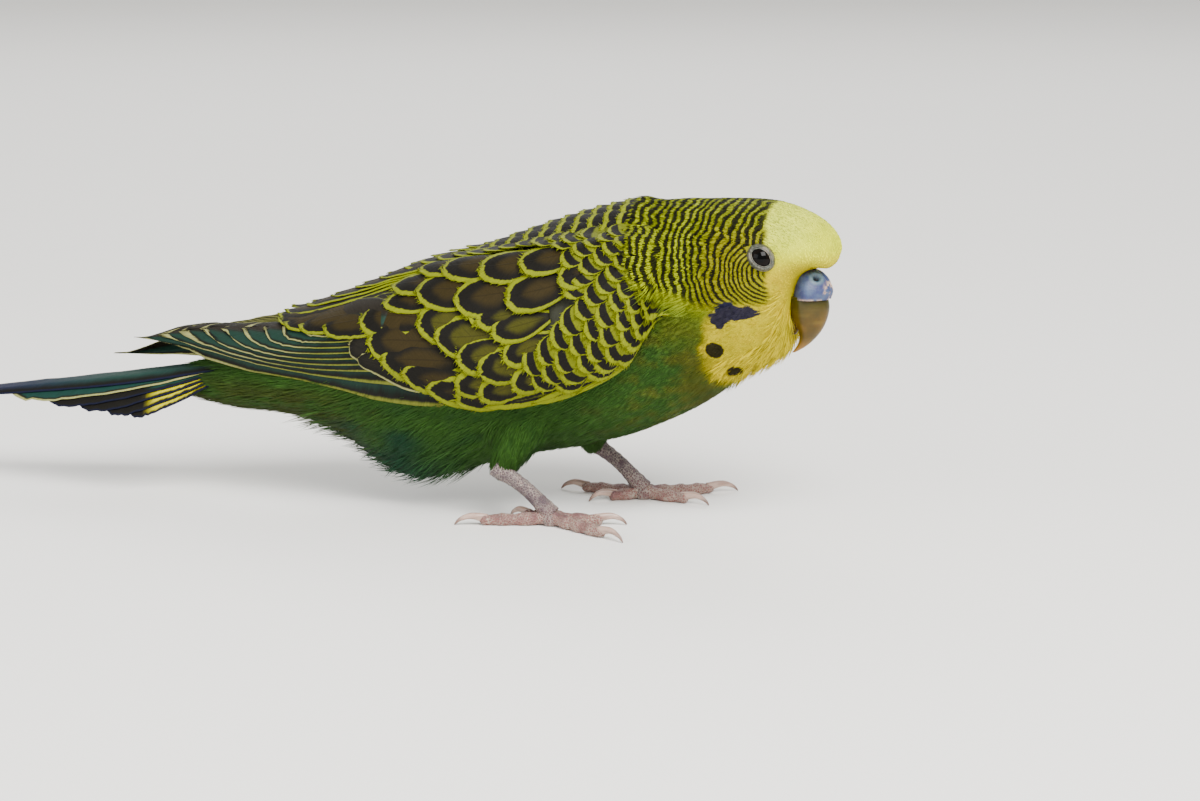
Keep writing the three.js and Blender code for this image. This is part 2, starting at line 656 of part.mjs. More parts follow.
function addPiece(name, body, finish) {
  const material = new THREE.MeshStandardMaterial({ metalness: 0, flatShading: true, ...finishes[finish] });
  const mesh = new THREE.Mesh(geometryOf(body), material);
  mesh.name = name;
  bird.add(mesh);
}

const whole = bodySolid();
const bodyClear = bodySolid(GAP);
const billGrow = upperBill();
const cerePad = cere();
const billPieces = [cere(GAP), loft(billSlices.map((slice) => sliceRing(slice, GAP)))];
const lowerMandible = lowerBill().subtract(billPieces[1]);
const lowerClear = lowerBill(GAP);

addPiece("head", head(whole, [...billPieces, lowerClear]), "face");
addPiece("neck", largest(sliced(sliced(whole, HEAD_CUT, false), NECK_CUT, true)), "nape");
addPiece("breast", largest(sliced(sliced(whole, NECK_CUT, false), BREAST_CUT, true)), "green");
addPiece("belly", largest(sliced(sliced(whole, BREAST_CUT, false), BELLY_CUT, true)), "green");
addPiece("rump", largest(sliced(sliced(whole, BELLY_CUT, false), TAIL_CUT, true)), "green");
addPiece("tail", tail(whole), "tail");
addPiece("bill_upper", largest(billGrow), "bill");
addPiece("bill_lower", largest(lowerMandible), "bill");
const cereCut = cerePad.subtract(loft(billSlices.map((slice) => sliceRing(slice, GAP))));
addPiece("cere", largest(nostrils().reduce((rest, hole) => rest.subtract(hole), cereCut)), "cere");
for (const [name, side] of [["eye_right", 1], ["eye_left", -1]]) {
  addPiece(name, ball(EYE.radius, eyeCentre(side), 12), "eye");
}

const folded = wings(bodyClear.add(tailClear()));
addPiece("wing_right", folded.right, "wing");
addPiece("wing_left", folded.left, "wing");

for (const [sideName, leg] of Object.entries(LEGS)) {
  const thighBody = thigh(leg, bodyClear);
  const shankBody = shank(leg, thighBody, bodyClear);
  addPiece(`thigh_${sideName}`, thighBody, "green");
  addPiece(`shank_${sideName}`, shankBody, "skin");
  const toes = feet(leg, footPad(leg, GAP).add(tube(shankPath(leg), () => 1.8 + GAP, 7, 8)));
  for (const [name, body] of Object.entries(toes)) {
    addPiece(`${name}_${sideName}`, body, name.startsWith("claw") ? "claw" : "skin");
  }
}

const bounds = new THREE.Box3().setFromObject(bird);
const middle = bounds.getCenter(new THREE.Vector3());
bird.position.set(-middle.x, -middle.y, -bounds.min.z);

export default bird;
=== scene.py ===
import itertools
import math

import bmesh
import bpy
import numpy as np
from mathutils import Matrix, Vector
from mathutils.bvhtree import BVHTree


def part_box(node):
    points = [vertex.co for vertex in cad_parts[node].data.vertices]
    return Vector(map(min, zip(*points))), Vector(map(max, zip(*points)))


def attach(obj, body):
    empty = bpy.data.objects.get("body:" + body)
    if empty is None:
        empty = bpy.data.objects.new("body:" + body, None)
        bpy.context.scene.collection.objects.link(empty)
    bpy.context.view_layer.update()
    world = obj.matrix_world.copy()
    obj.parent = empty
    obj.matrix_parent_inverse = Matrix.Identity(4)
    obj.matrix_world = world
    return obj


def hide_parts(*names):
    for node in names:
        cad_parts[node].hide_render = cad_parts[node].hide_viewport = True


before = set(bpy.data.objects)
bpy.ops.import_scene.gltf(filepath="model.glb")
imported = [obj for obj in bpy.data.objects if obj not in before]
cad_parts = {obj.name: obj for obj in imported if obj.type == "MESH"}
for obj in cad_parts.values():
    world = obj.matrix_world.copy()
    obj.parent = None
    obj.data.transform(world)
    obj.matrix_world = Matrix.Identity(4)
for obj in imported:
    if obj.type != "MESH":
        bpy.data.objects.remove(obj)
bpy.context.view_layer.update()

# A life-size green budgerigar: one skin, a coat of fine tufts, and wing and tail feathers as vanes.
# Shapes are worked out in millimetres along the bird's long line, and turned to metres at the end.
TAIL_TIP = -150.0
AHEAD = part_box("tail")[0].x * 1000 - TAIL_TIP  # from the bird's own zero to the model's, along X
RANDOM = np.random.default_rng(20)

# The long line and its profiles, as the solids have them


def profile(points):
    """Smooth value through landmarks [place, size], by cubic Hermite spans."""
    marks = np.array(points, float)
    x, y = marks[:, 0], marks[:, 1]
    before = np.maximum(np.arange(len(x)) - 1, 0)
    after = np.minimum(np.arange(len(x)) + 1, len(x) - 1)
    slope = (y[after] - y[before]) / (x[after] - x[before])

    def value(place):
        at = np.clip(np.asarray(place, float), x[0], x[-1])
        i = np.clip(np.searchsorted(x, at) - 1, 0, len(x) - 2)
        span = x[i + 1] - x[i]
        t = (at - x[i]) / span
        bend = t * (1 - t) ** 2 * slope[i] + t * t * (t - 1) * slope[i + 1]
        return y[i] + (y[i + 1] - y[i]) * t * t * (3 - 2 * t) + bend * span

    return value


def smooth(value, low, high):
    t = np.clip((np.asarray(value, float) - low) / (high - low), 0, 1)
    return t * t * (3 - 2 * t)


def mix(a, b, share):
    return a + (b - a) * share


RUMP_END, BROW = -78.0, 52.8
TURN_START, TURN_END, HEAD_TURN = 12.0, 34.0, math.radians(12)
back_line = profile([(-78, 25.0), (-66, 28.4), (-53, 32.6), (-40, 38.4), (-33, 41.8), (-25, 46.2),
    (-13, 51.3), (0, 56.2), (8, 58.6), (16, 60.4), (25, 61.3), (34, 61.7), (41, 61.3), (47, 59.3),
    (51, 56.2), (52.8, 52.4)])
belly_line = profile([(-78, 19.0), (-66, 16.4), (-55, 15.6), (-47, 13.6), (-40, 10.2), (-35, 6.4),
    (-29, 4.5), (-22, 5.8), (-8, 9.6), (6, 12.4), (14, 14.8), (25, 20.2), (34, 27.0), (40, 30.4),
    (43.4, 34.0), (44.4, 40.5), (45.2, 45.0), (46.6, 47.3), (48.5, 48.3), (51, 48.3), (52.2, 50.0),
    (52.8, 52.4)])
body_width = profile([(-78, 5.5), (-66, 8.0), (-53, 10.8), (-40, 13.6), (-25, 16.0), (-8, 17.2),
    (5, 17.2), (14, 15.8), (22, 14.4), (30, 13.9), (37, 13.7), (41, 12.9), (43.5, 11.4), (45.5, 10.3),
    (48, 8.8), (51, 5.8), (52.3, 3.0), (52.8, 0.4)])
widest_level = profile([(-78, 21.5), (-50, 24.0), (-25, 28.5), (0, 34.5), (14, 38.8), (26, 43.0),
    (36, 45.5), (42, 47.6), (45, 50.2), (48, 52.2), (51, 52.8), (52.8, 52.4)])
lower_roundness = profile([(-78, 2), (28, 2), (36, 2.1), (40, 1.95), (43, 1.7), (44.5, 1.6), (46, 1.7),
    (52.8, 2)])

WING_FRONT, WING_TIP = 24.0, -84.0
wing_top = profile([(-84, 31.6), (-79, 33.4), (-72, 35.2), (-63, 36.0), (-53, 37.2), (-43, 40.8),
    (-33, 45.0), (-19, 51.4), (0, 58.4), (14, 62.4), (24, 63.4)])
wing_width = profile([(-84, 5.2), (-71, 8.8), (-60, 12.0), (-48, 15.6), (-33, 18.8), (-17, 20.4),
    (5, 20.6), (14, 20.0), (20, 18.8), (24, 16.8)])
wing_level = profile([(-84, 30.2), (-71, 28.7), (-60, 27.4), (-48, 27.0), (-33, 28.4), (-20, 31.0),
    (0, 35.5), (14, 39.5), (24, 42.0)])
wing_hem = profile([(-84, 30.0), (-71, 28.2), (-60, 26.8), (-48, 26.4), (-33, 26.6), (-24, 24.2),
    (-17, 22.2), (-8, 22.0), (3, 24.0), (14, 29.0), (20, 34.0), (24, 39.5)])
wing_ridge = profile([(-84, 3.6), (-72, 1.0), (-34, 0.6), (-24, 3.0), (-12, 6.2), (0, 9.2), (14, 12.2),
    (24, 12.0)])
SHOULDER_TUCK, RIDGE_TUCK = 2.0, 2.2
LEFT_TIP_DROP, LEFT_TIP_REACH, DROP_START = 5.0, 8.0, -57.0
tail_top = profile([(-150, 14.2), (-116, 19.2), (-90, 22.9), (-77, 25.0), (-60, 27.4)])
TAIL_CAMBER = 0.014

LINE_STEP, LINE_END = 0.05, 70.0
line_s = np.arange(TURN_START, LINE_END, LINE_STEP)


def heading(s):
    return -HEAD_TURN * smooth(s, TURN_START, TURN_END)


def run_up(part):
    """One coordinate of the neck's curve, summed up step by step from where the turn starts."""
    steps = part(heading(line_s + LINE_STEP / 2)) * LINE_STEP
    return np.concatenate([[0], np.cumsum(steps)])[:-1]


line_x, line_y = TURN_START + run_up(np.cos), run_up(np.sin)


def spine(s):
    s = np.asarray(s, float)
    turned = s > TURN_START
    x, y = np.interp(s, line_s, line_x), np.interp(s, line_s, line_y)
    return np.where(turned, x, s), np.where(turned, y, 0.0)


def place(s, out, z):
    """A point of the bird: s along the long line, out to its right, z above the floor."""
    turn = heading(s)
    x, y = spine(s)
    return np.stack(np.broadcast_arrays(x + np.sin(turn) * out, y - np.cos(turn) * out, z), -1)


def unplace(points):
    """The same three numbers, found back from points."""
    s = points[..., 0].copy()
    for _ in range(9):
        turn = heading(s)
        x, y = spine(s)
        s = s + (points[..., 0] - x) * np.cos(turn) + (points[..., 1] - y) * np.sin(turn)
    turn = heading(s)
    x, y = spine(s)
    return s, (points[..., 0] - x) * np.sin(turn) - (points[..., 1] - y) * np.cos(turn), points[..., 2]


def unit(v):
    return v / np.maximum(np.linalg.norm(v, axis=-1, keepdims=True), 1e-9)


def section(s, angle, width, top, level, bottom, roundness):
    """Points round the body at s: half an ellipse above the level, and a rounder or squarer half below it."""
    c, n = np.cos(angle), np.sin(angle)
    power = np.where(n < 0, 2 / roundness, 1)
    out = width * np.sign(c) * np.abs(c) ** power
    z = np.where(n < 0, level - (level - bottom) * np.abs(n) ** power, level + (top - level) * n)
    return place(s, out, z)


def wing_skin(s, q):
    """The folded right wing's face: q runs from the hem, 0, to the ridge, 1."""
    level, hem, width = wing_level(s), wing_hem(s), wing_width(s)
    below = level - np.minimum(belly_line(s), hem - 6)
    low = np.where(hem < level, -np.arcsin(np.clip((level - hem) / below, -1, 1)), 0)
    high = np.arccos(np.clip(wing_ridge(s) / width, 0, 1))
    return section(s, low + (high - low) * q, width, wing_top(s), level, level - below, 2)


def wing_point(s, q, h):
    """The wing's chart: a point h above its face, tucked in at the shoulder, the ridge and the hem."""
    along = wing_skin(s + 0.5, q) - wing_skin(s - 0.5, q)
    up = wing_skin(s, q + 0.02) - wing_skin(s, q - 0.02)
    normal = unit(np.cross(along, up))
    normal = normal * np.where(normal @ np.array([0, -1, 0.6]) < 0, -1, 1)[..., None]
    thin = 1.0 - smooth(q, 0, 0.16)
    front = SHOULDER_TUCK * smooth(s, 15, WING_FRONT)
    ridge = RIDGE_TUCK * smooth(q, 0.8, 1) * smooth(s, -30, -12)
    return wing_skin(s, q) + normal * (h - thin - front - ridge)[..., None]


def wing_span(s, q):
    """How many millimetres one whole step of q is, at this place."""
    low = np.clip(q - 0.05, 0, 0.9)
    return np.linalg.norm(wing_skin(s, low + 0.1) - wing_skin(s, low), axis=-1) / 0.1


def mantle_point(s, out, h):
    """The back between the wings, as a chart over the body's own top."""
    rise = np.sqrt(np.maximum(1 - (out / body_width(s)) ** 2, 0.02))
    z = widest_level(s) + (back_line(s) - widest_level(s)) * rise
    return place(s, out, z + h)


# Colours, as the plumage has them


def dye(code):
    """A colour written as on a chart, as the light it gives back."""
    c = np.array([int(code[i:i + 2], 16) for i in (0, 2, 4)]) / 255
    return np.where(c <= 0.04045, c / 12.92, ((c + 0.055) / 1.055) ** 2.4)


# The paler lemon is a painted highlight for the top of the head.
LEMON, LEMON_HIGHLIT = dye("eef400"), dye("f6ff50")
MASK, MASK_DEEP = dye("dac600"), dye("c4a800")
NAPE, CHEEK, NECK_GREEN = dye("9aa402"), dye("989402"), dye("66761a")
GREEN, GREEN_DEEP, GREEN_OLIVE, TEAL = dye("34561e"), dye("1e3e1c"), dye("66661a"), dye("163a2e")
UNDERTAIL = dye("3c4616")
SOOT, SPOT_BLUE = dye("0c0a06"), dye("10123a")
RIM, OLIVE_BROWN = dye("6e7602"), dye("271f08")
FLIGHT_DARK, FLIGHT_TEAL, FLIGHT_EDGE = dye("1c1812"), dye("142c24"), dye("8c8c58")
TAIL_BLUE, TAIL_TEAL, TAIL_YELLOW = dye("0c1230"), dye("10302a"), dye("b8b004")

bars_front = profile([(30, 41.5), (42.6, 41.3), (43.5, 43.0), (48, 43.0), (54, 42.4), (57.3, 41.4),
    (61.2, 40.4), (64, 40)])
bars_foot = profile([(-20, 62), (8, 52), (20, 45), (26, 43.2), (30, 42.2), (33.5, 42.1), (37, 43.0),
    (42, 42.8), (50, 43)])
mask_rear = profile([(22, 36), (26.7, 32.4), (29.7, 30.8), (34, 30.4), (38, 31.4), (42, 34.2), (44, 40.8),
    (50, 42.5), (54, 41.5), (62, 39)])
bar_pitch = profile([(-60, 1.55), (0, 1.6), (30, 1.72), (60, 1.85), (120, 1.9)])
bar_seam = profile([(28, 57.5), (30, 57.0), (34, 55.5), (38.2, 53.2), (42, 51.8), (46, 51.8)])
FACE_CENTRE = (48.0, 51.0)
CHEEK_CENTRE, CHEEK_JOIN = (44.6, 48.9), 28.0
cheek_reach = np.arange(0, 40, 0.1)
cheek_count = np.cumsum(0.1 / (0.9 + 0.55 * smooth(cheek_reach, 5, 17)))
BAR_WAVER, BAR_SHIVER = 0.24, 0.13


def waver(points, size, seed, octaves=2):
    """A soft seeded unevenness over space, between about -1 and 1."""
    draw = np.random.default_rng(seed)
    total = np.zeros(points.shape[:-1])
    for _ in range(5 * octaves):
        way = unit(draw.normal(size=3))
        total += np.sin(points @ way * (2 * math.pi / size) * draw.uniform(0.6, 1.7) + draw.uniform(0, 6.28))
    return total / math.sqrt(5 * octaves)


def crown_bars(s, out, z):
    """Bars counted back from the forehead over crown and nape."""
    back, up = FACE_CENTRE[0] - s, z - FACE_CENTRE[1]
    flat = mix(0.95, 1.2, smooth(s, 34, 22))
    away = np.sqrt(back ** 2 + (0.35 * out) ** 2 + (flat * up) ** 2)
    return away / bar_pitch(np.degrees(np.arctan2(up, back + 1e-6)))


def cheek_bars(s, z):
    """The finer bars that curve round the eye and down the cheek."""
    flat = mix(1.2, 0.55, smooth(CHEEK_CENTRE[0] - s, 8, 17))
    away = np.sqrt((s - CHEEK_CENTRE[0]) ** 2 + (flat * (z - CHEEK_CENTRE[1])) ** 2)
    return np.interp(away, cheek_reach, cheek_count)


def bar_field(points):
    """The number of bars up to a point, how strongly they show there, and how much of each is soot."""
    s, out, z = unplace(points)
    join = np.full_like(s, CHEEK_JOIN)
    cheek = crown_bars(join, out, z) + cheek_bars(s, z) - cheek_bars(join, z)
    seam = bar_seam(s) + 0.5 * waver(points, 3.0, 6)
    phase = np.where((s > CHEEK_JOIN) & (z < seam), cheek, crown_bars(s, out, z))
    phase = phase + BAR_WAVER * waver(points, 7.0, 4) + BAR_SHIVER * waver(points, 2.2, 5)
    show = smooth(bars_front(z) - s, -0.2, 0.5) * smooth(z - bars_foot(s), -0.6, 1.4)
    show = show * smooth(s, -16, -6)
    broader = np.maximum(smooth(z - seam, -1, 1), smooth(s, 31, 26))
    share = 0.47 + 0.1 * broader + 0.06 * smooth(s, 34, 41) * smooth(z, 54, 57)
    return phase, show, share


# Place on the long line, out, level, reach along, reach up, tilt. The first three make the cheek patch.
SPOTS = [
    (37.4, 13.2, 41.5, 4.5, 1.35, 0.12), (34.4, 12.8, 39.9, 1.5, 1.5, 0.5), (36.6, 12.9, 42.2, 2.6, 1.3, 0.0),
    (32.7, 11.6, 34.1, 1.75, 1.6, 0.3), (34.9, 7.2, 29.7, 1.5, 0.95, 0.3), (36.4, 2.2, 27.6, 1.0, 0.7, 0.0)]
PATCH_SPOTS = 3


def spot_field(points):
    """How far a point is outside the nearest spot or cheek patch, below 0 inside, and how blue it is."""
    s, out, z = unplace(points)
    best = np.full(s.shape, 9.0)
    blue = np.zeros(s.shape)
    edge = 0.3 * waver(points, 1.8, 8)
    for i, (at, side, level, long, tall, tilt) in enumerate(SPOTS):
        ds, dz = s - at, z - level
        a, b = ds * math.cos(tilt) + dz * math.sin(tilt), dz * math.cos(tilt) - ds * math.sin(tilt)
        aside = np.maximum(np.abs(np.abs(out) - side) - 2.5, 0)
        away = (np.sqrt((a / long) ** 2 + (b / tall) ** 2 + aside ** 2) - 1) * tall
        away = away + edge * (1 if i < PATCH_SPOTS else 0.45)
        blue = np.where(away < best, 1.0 if i < PATCH_SPOTS else 0.0, blue)
        best = np.minimum(best, away)
    return best, blue


def blend_in(base, colour, share):
    return base + (colour - base) * np.asarray(share)[..., None]


def plumage(points):
    """The ground colour of the coat at points, under the bars and spots."""
    s, out, z = unplace(points)
    soft = waver(points, 9.0, 1)
    fine = waver(points, 3.2, 2)
    above_foot = z - bars_foot(s)
    rump_share = smooth(-s + 5 * fine, 32, 54) * smooth(24 - z, -2, 4) * smooth(soft + fine, -1.6, 0.8)
    c = blend_in(GREEN, GREEN_DEEP, smooth(fine + soft, 0.0, 2.0) * 0.6)
    olive_share = smooth(s, -6, 30) * smooth(fine * 0.6 + soft * 0.5 + s / 22, 0.2, 1.9)
    c = blend_in(c, GREEN_OLIVE, olive_share * 0.75)
    c = blend_in(c, TEAL, smooth(-s, 14, 34) * smooth(22 + soft * 3 - z, 0, 14) * 0.85)
    c = blend_in(c, UNDERTAIL, rump_share)
    c = blend_in(c, NECK_GREEN, smooth(s, 13, 24) * smooth(above_foot, -12 + soft * 2, 0))
    c = blend_in(c, NAPE, smooth(above_foot, -3.5, 2.0) * smooth(s, -16, -4))
    c = blend_in(c, CHEEK, smooth(s, 26, 34) * smooth(above_foot, -1.0, 0.8) * smooth(58 - z, -2, 5))
    mask = smooth(s - mask_rear(z) + 0.5 * fine, -1.3, 1.0) * smooth(-above_foot, -1.2, 0.6)
    face = smooth(s - bars_front(z) + 0.25 * fine, -0.5, 0.5)
    yellow = blend_in(MASK, MASK_DEEP, smooth(fine, 0.2, 1.6) * 0.5)
    # Painted highlight: paler lemon on the top of the head, where the light falls brightest.
    lemon = blend_in(LEMON, LEMON_HIGHLIT, smooth(z + 0.5 * soft, 51, 57) * smooth(62 - s, 8, 17))
    yellow = blend_in(yellow, lemon, smooth(z, 48.5, 53.5))
    return blend_in(c, yellow, np.maximum(mask, face))


# Meshes


def metres(points):
    """The bird's own millimetres as the model's metres."""
    return (np.asarray(points, float) + (AHEAD, 0, 0)) / 1000


def points_of(mesh):
    """A mesh's vertices, back in the bird's own millimetres."""
    co = np.empty(len(mesh.vertices) * 3)
    mesh.vertices.foreach_get("co", co)
    return co.reshape(-1, 3) * 1000 - (AHEAD, 0, 0)


def shown(name, mesh):
    """An object in the scene's own collection."""
    thing = bpy.data.objects.new(name, mesh)
    bpy.context.scene.collection.objects.link(thing)
    return thing


def new_piece(name, mesh, slot, look, replaced=()):
    """One finished piece of the bird, which may take the place of CAD nodes."""
    piece = shown(name, mesh)
    mesh.materials.append(look)
    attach(piece, "root")
    if replaced:
        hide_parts(*replaced)


def mesh_from(name, points, triangles):
    """A mesh from points in millimetres and the corners of its triangles."""
    mesh = bpy.data.meshes.new(name)
    mesh.vertices.add(len(points))
    mesh.vertices.foreach_set("co", np.asarray(metres(points), np.float32).ravel())
    mesh.loops.add(len(triangles) * 3)
    mesh.loops.foreach_set("vertex_index", np.asarray(triangles, np.int32).ravel())
    mesh.polygons.add(len(triangles))
    mesh.polygons.foreach_set("loop_start", np.arange(len(triangles), dtype=np.int32) * 3)
    mesh.update()
    return mesh


def paint(mesh, name, values):
    """Keeps a number, a direction or a colour with each vertex."""
    values = np.asarray(values, np.float32)
    if values.ndim == 1:
        mesh.attributes.new(name, "FLOAT", "POINT").data.foreach_set("value", values)
    elif name.endswith("colour"):
        four = np.concatenate([values, np.ones((len(values), 1), np.float32)], 1)
        mesh.attributes.new(name, "FLOAT_COLOR", "POINT").data.foreach_set("color", four.ravel())
    else:
        mesh.attributes.new(name, "FLOAT_VECTOR", "POINT").data.foreach_set("vector", values.ravel())


def lay_out(mesh, name, uv):
    """A UV map from one pair of numbers a vertex."""
    corner = np.empty(len(mesh.loops), np.int32)
    mesh.loops.foreach_get("vertex_index", corner)
    layer = mesh.uv_layers.new(name=name)
    layer.data.foreach_set("uv", np.asarray(uv, np.float32)[corner].ravel())


def loft(rings, bm=None, close=True):
    """A closed skin over rings of points in millimetres, each ring bridged to the next."""
    bm = bm or bmesh.new()
    loops = []
    for ring in rings:
        verts = [bm.verts.new(p) for p in metres(ring)]
        loops.append([bm.edges.new((verts[i], verts[(i + 1) % len(verts)])) for i in range(len(verts))])
    for near, far in zip(loops, loops[1:]):
        bmesh.ops.bridge_loops(bm, edges=near + far)
    if close:
        bmesh.ops.holes_fill(bm, edges=loops[0] + loops[-1], sides=len(rings[0]))
    bmesh.ops.recalc_face_normals(bm, faces=bm.faces)
    return bm


def finish_mesh(name, bm):
    mesh = bpy.data.meshes.new(name)
    bm.to_mesh(mesh)
    bm.free()
    mesh.shade_smooth()
    return mesh


def grid_quads(number):
    """The four corners of each square of a grid of vertex numbers."""
    corners = number[:-1, :-1], number[:-1, 1:], number[1:, 1:], number[1:, :-1]
    return np.stack(corners, -1).reshape(-1, 4)


def halved(quads):
    return np.concatenate([quads[:, [0, 1, 2]], quads[:, [0, 2, 3]]])


def tube_rings(path, radius, sides, wide=1.0):
    """Rings square to a path. The radius is one number for each point, or one for each point and side."""
    path = np.asarray(path, float)
    along = unit(np.gradient(path, axis=0))
    side = unit(np.cross(along, np.array([0, 0, 1.0]) + along * 1e-3))
    for i in range(1, len(side)):
        if side[i] @ side[i - 1] < 0:
            side[i] = -side[i]
    up = np.cross(side, along)
    turn = np.linspace(0, 2 * math.pi, sides, endpoint=False)
    radius = np.broadcast_to(np.asarray(radius, float).reshape(len(path), -1), (len(path), sides))
    return (path[:, None] + side[:, None] * (radius * np.cos(turn) * wide)[..., None]
            + up[:, None] * (radius * np.sin(turn))[..., None])


def curve_through(points, count):
    """An even smooth path through a few points."""
    points = np.asarray(points, float)
    knots = np.concatenate([[0], np.cumsum(np.linalg.norm(np.diff(points, axis=0), axis=1))])
    at = np.linspace(0, knots[-1], count)
    return np.stack([profile(list(zip(knots, points[:, i])))(at) for i in range(3)], -1)


class Skin:
    """A closed surface that feathers are set on, with its nearest points and smooth normals."""

    def __init__(self, mesh):
        self.points = points_of(mesh)
        mesh.calc_loop_triangles()
        tri = np.empty(len(mesh.loop_triangles) * 3, np.int32)
        mesh.loop_triangles.foreach_get("vertices", tri)
        self.tris = tri.reshape(-1, 3)
        corners = self.points[self.tris]
        flat = np.cross(corners[:, 1] - corners[:, 0], corners[:, 2] - corners[:, 0])
        self.areas = np.linalg.norm(flat, axis=1) / 2
        normals = np.zeros_like(self.points)
        for k in range(3):
            np.add.at(normals, self.tris[:, k], flat)
        self.face_normals = unit(unit(normals)[self.tris].mean(1))
        self.tree = BVHTree.FromPolygons(self.points.tolist(), self.tris.tolist(), all_triangles=True)

    def nearest(self, points):
        where = np.empty_like(points)
        index = np.empty(len(points), np.int64)
        find = self.tree.find_nearest
        for i, p in enumerate(points.tolist()):
            hit = find(p)
            where[i] = hit[0]
            index[i] = hit[2]
        return where, self.face_normals[index]

    def scatter(self, spacing, draw, tries=9):
        """Even random places: spacing(points) gives how far apart they are."""
        weight = self.areas / spacing(self.points[self.tris].mean(1)) ** 2
        count = int(weight.sum() * tries)
        pick = draw.choice(len(self.areas), count, p=weight / weight.sum())
        a, b = draw.random(count), draw.random(count)
        flip = a + b > 1
        a, b = np.where(flip, 1 - a, a)[:, None], np.where(flip, 1 - b, b)[:, None]
        first, second, third = self.points[self.tris[pick]].transpose(1, 0, 2)
        points = first + (second - first) * a + (third - first) * b
        near = spacing(points) ** 2 * CLOSEST
        kept, cells = [], {}
        for i, (p, r) in enumerate(zip(points.tolist(), near.tolist())):
            cell = tuple(int(c // CELL) for c in p)
            if not crowded(p, r, cell, cells):
                kept.append(i)
                cells.setdefault(cell, []).append(p)
        kept = np.array(kept)
        return points[kept], self.face_normals[pick[kept]]


CELL, CLOSEST = 1.5, 0.6
NEIGHBOURS = list(itertools.product((-1, 0, 1), repeat=3))


def crowded(p, near, cell, cells):
    """Whether a root already stands within the square root of near of p."""
    for dx, dy, dz in NEIGHBOURS:
        for q in cells.get((cell[0] + dx, cell[1] + dy, cell[2] + dz), ()):
            if (p[0] - q[0]) ** 2 + (p[1] - q[1]) ** 2 + (p[2] - q[2]) ** 2 < near:
                return True
    return False

# Materials

THIN_FLESH = dict(Subsurface_Weight=0.08, Subsurface_Scale=0.001)


class Value:
    """A number or colour in a material. Sums written with it become Math nodes."""

    def __init__(self, look, socket):
        self.look, self.socket = look, socket

    def __add__(self, other):
        return self.look.math("ADD", self, other)

    def __sub__(self, other):
        return self.look.math("SUBTRACT", self, other)

    def __mul__(self, other):
        return self.look.math("MULTIPLY", self, other)

    def __abs__(self):
        return self.look.math("ABSOLUTE", self)


class Look:
    """One material, with short ways to lay its nodes down."""

    def __init__(self, name, roughness, **sockets):
        self.material = bpy.data.materials.new(name)
        self.material.use_nodes = True
        self.tree = self.material.node_tree
        self.shader = self.tree.nodes["Principled BSDF"]
        self.shader.inputs["Roughness"].default_value = roughness
        for socket, value in sockets.items():
            self.shader.inputs[socket.replace("_", " ")].default_value = value

    def node(self, kind, fed=(), **settings):
        """A new node. What fed holds goes to its sockets, by name or number."""
        node = self.tree.nodes.new("ShaderNode" + kind)
        for key, value in settings.items():
            setattr(node, key, value)
        for socket, value in dict(fed).items():
            self.feed(node.inputs[socket], value)
        return node

    def feed(self, socket, value):
        if isinstance(value, Value):
            self.tree.links.new(value.socket, socket)
        elif socket.type == "RGBA":
            socket.default_value = (*[float(x) for x in value], 1.0)
        else:
            socket.default_value = value

    def math(self, operation, a, b=0.0):
        return Value(self, self.node("Math", {0: a, 1: b}, operation=operation).outputs[0])

    def step(self, value, low, high):
        """0 below low and 1 above high, and smooth between."""
        fed = {"Value": value, "From Min": low, "From Max": high}
        return Value(self, self.node("MapRange", fed, interpolation_type="SMOOTHSTEP").outputs["Result"])

    def blend(self, share, a, b, way="MIX"):
        node = self.node("Mix", data_type="RGBA", blend_type=way)
        for socket, value in (("Factor", share), ("A", a), ("B", b)):
            self.feed(node.inputs[socket], value)
        return Value(self, next(o for o in node.outputs if o.type == "RGBA"))

    def tint(self, colour, share, by):
        return self.blend(share, colour, by, "MULTIPLY")

    def attribute(self, name, output="Fac"):
        return Value(self, self.node("Attribute", attribute_name=name).outputs[output])

    def split(self, vector):
        return [Value(self, part) for part in self.node("SeparateXYZ", {0: vector}).outputs]

    def numbers(self, name):
        """The three numbers that a mesh keeps with each vertex under one name."""
        return self.split(self.attribute(name, "Vector"))

    def join(self, x, y, z):
        return Value(self, self.node("CombineXYZ", {0: x, 1: y, 2: z}).outputs[0])

    def where(self, scale=(1, 1, 1)):
        here = Value(self, self.node("TexCoord").outputs["Object"])
        return Value(self, self.node("Mapping", {"Vector": here, "Scale": scale}).outputs[0])

    def noise(self, scale, detail=2.0, rough=0.5, at=None):
        fed = {"Vector": at or self.where(), "Scale": scale, "Detail": detail, "Roughness": rough}
        return Value(self, self.node("TexNoise", fed).outputs["Fac"])

    def cells(self, scale, feature="F1"):
        node = self.node("TexVoronoi", {"Vector": self.where(), "Scale": scale}, feature=feature)
        return Value(self, node.outputs["Distance"])

    def bump(self, height, distance, strength=0.6):
        node = self.node("Bump", {"Height": height, "Distance": distance, "Strength": strength})
        self.feed(self.shader.inputs["Normal"], Value(self, node.outputs[0]))

    def surface(self, colour, roughness):
        self.feed(self.shader.inputs["Base Color"], colour)
        self.feed(self.shader.inputs["Roughness"], roughness)


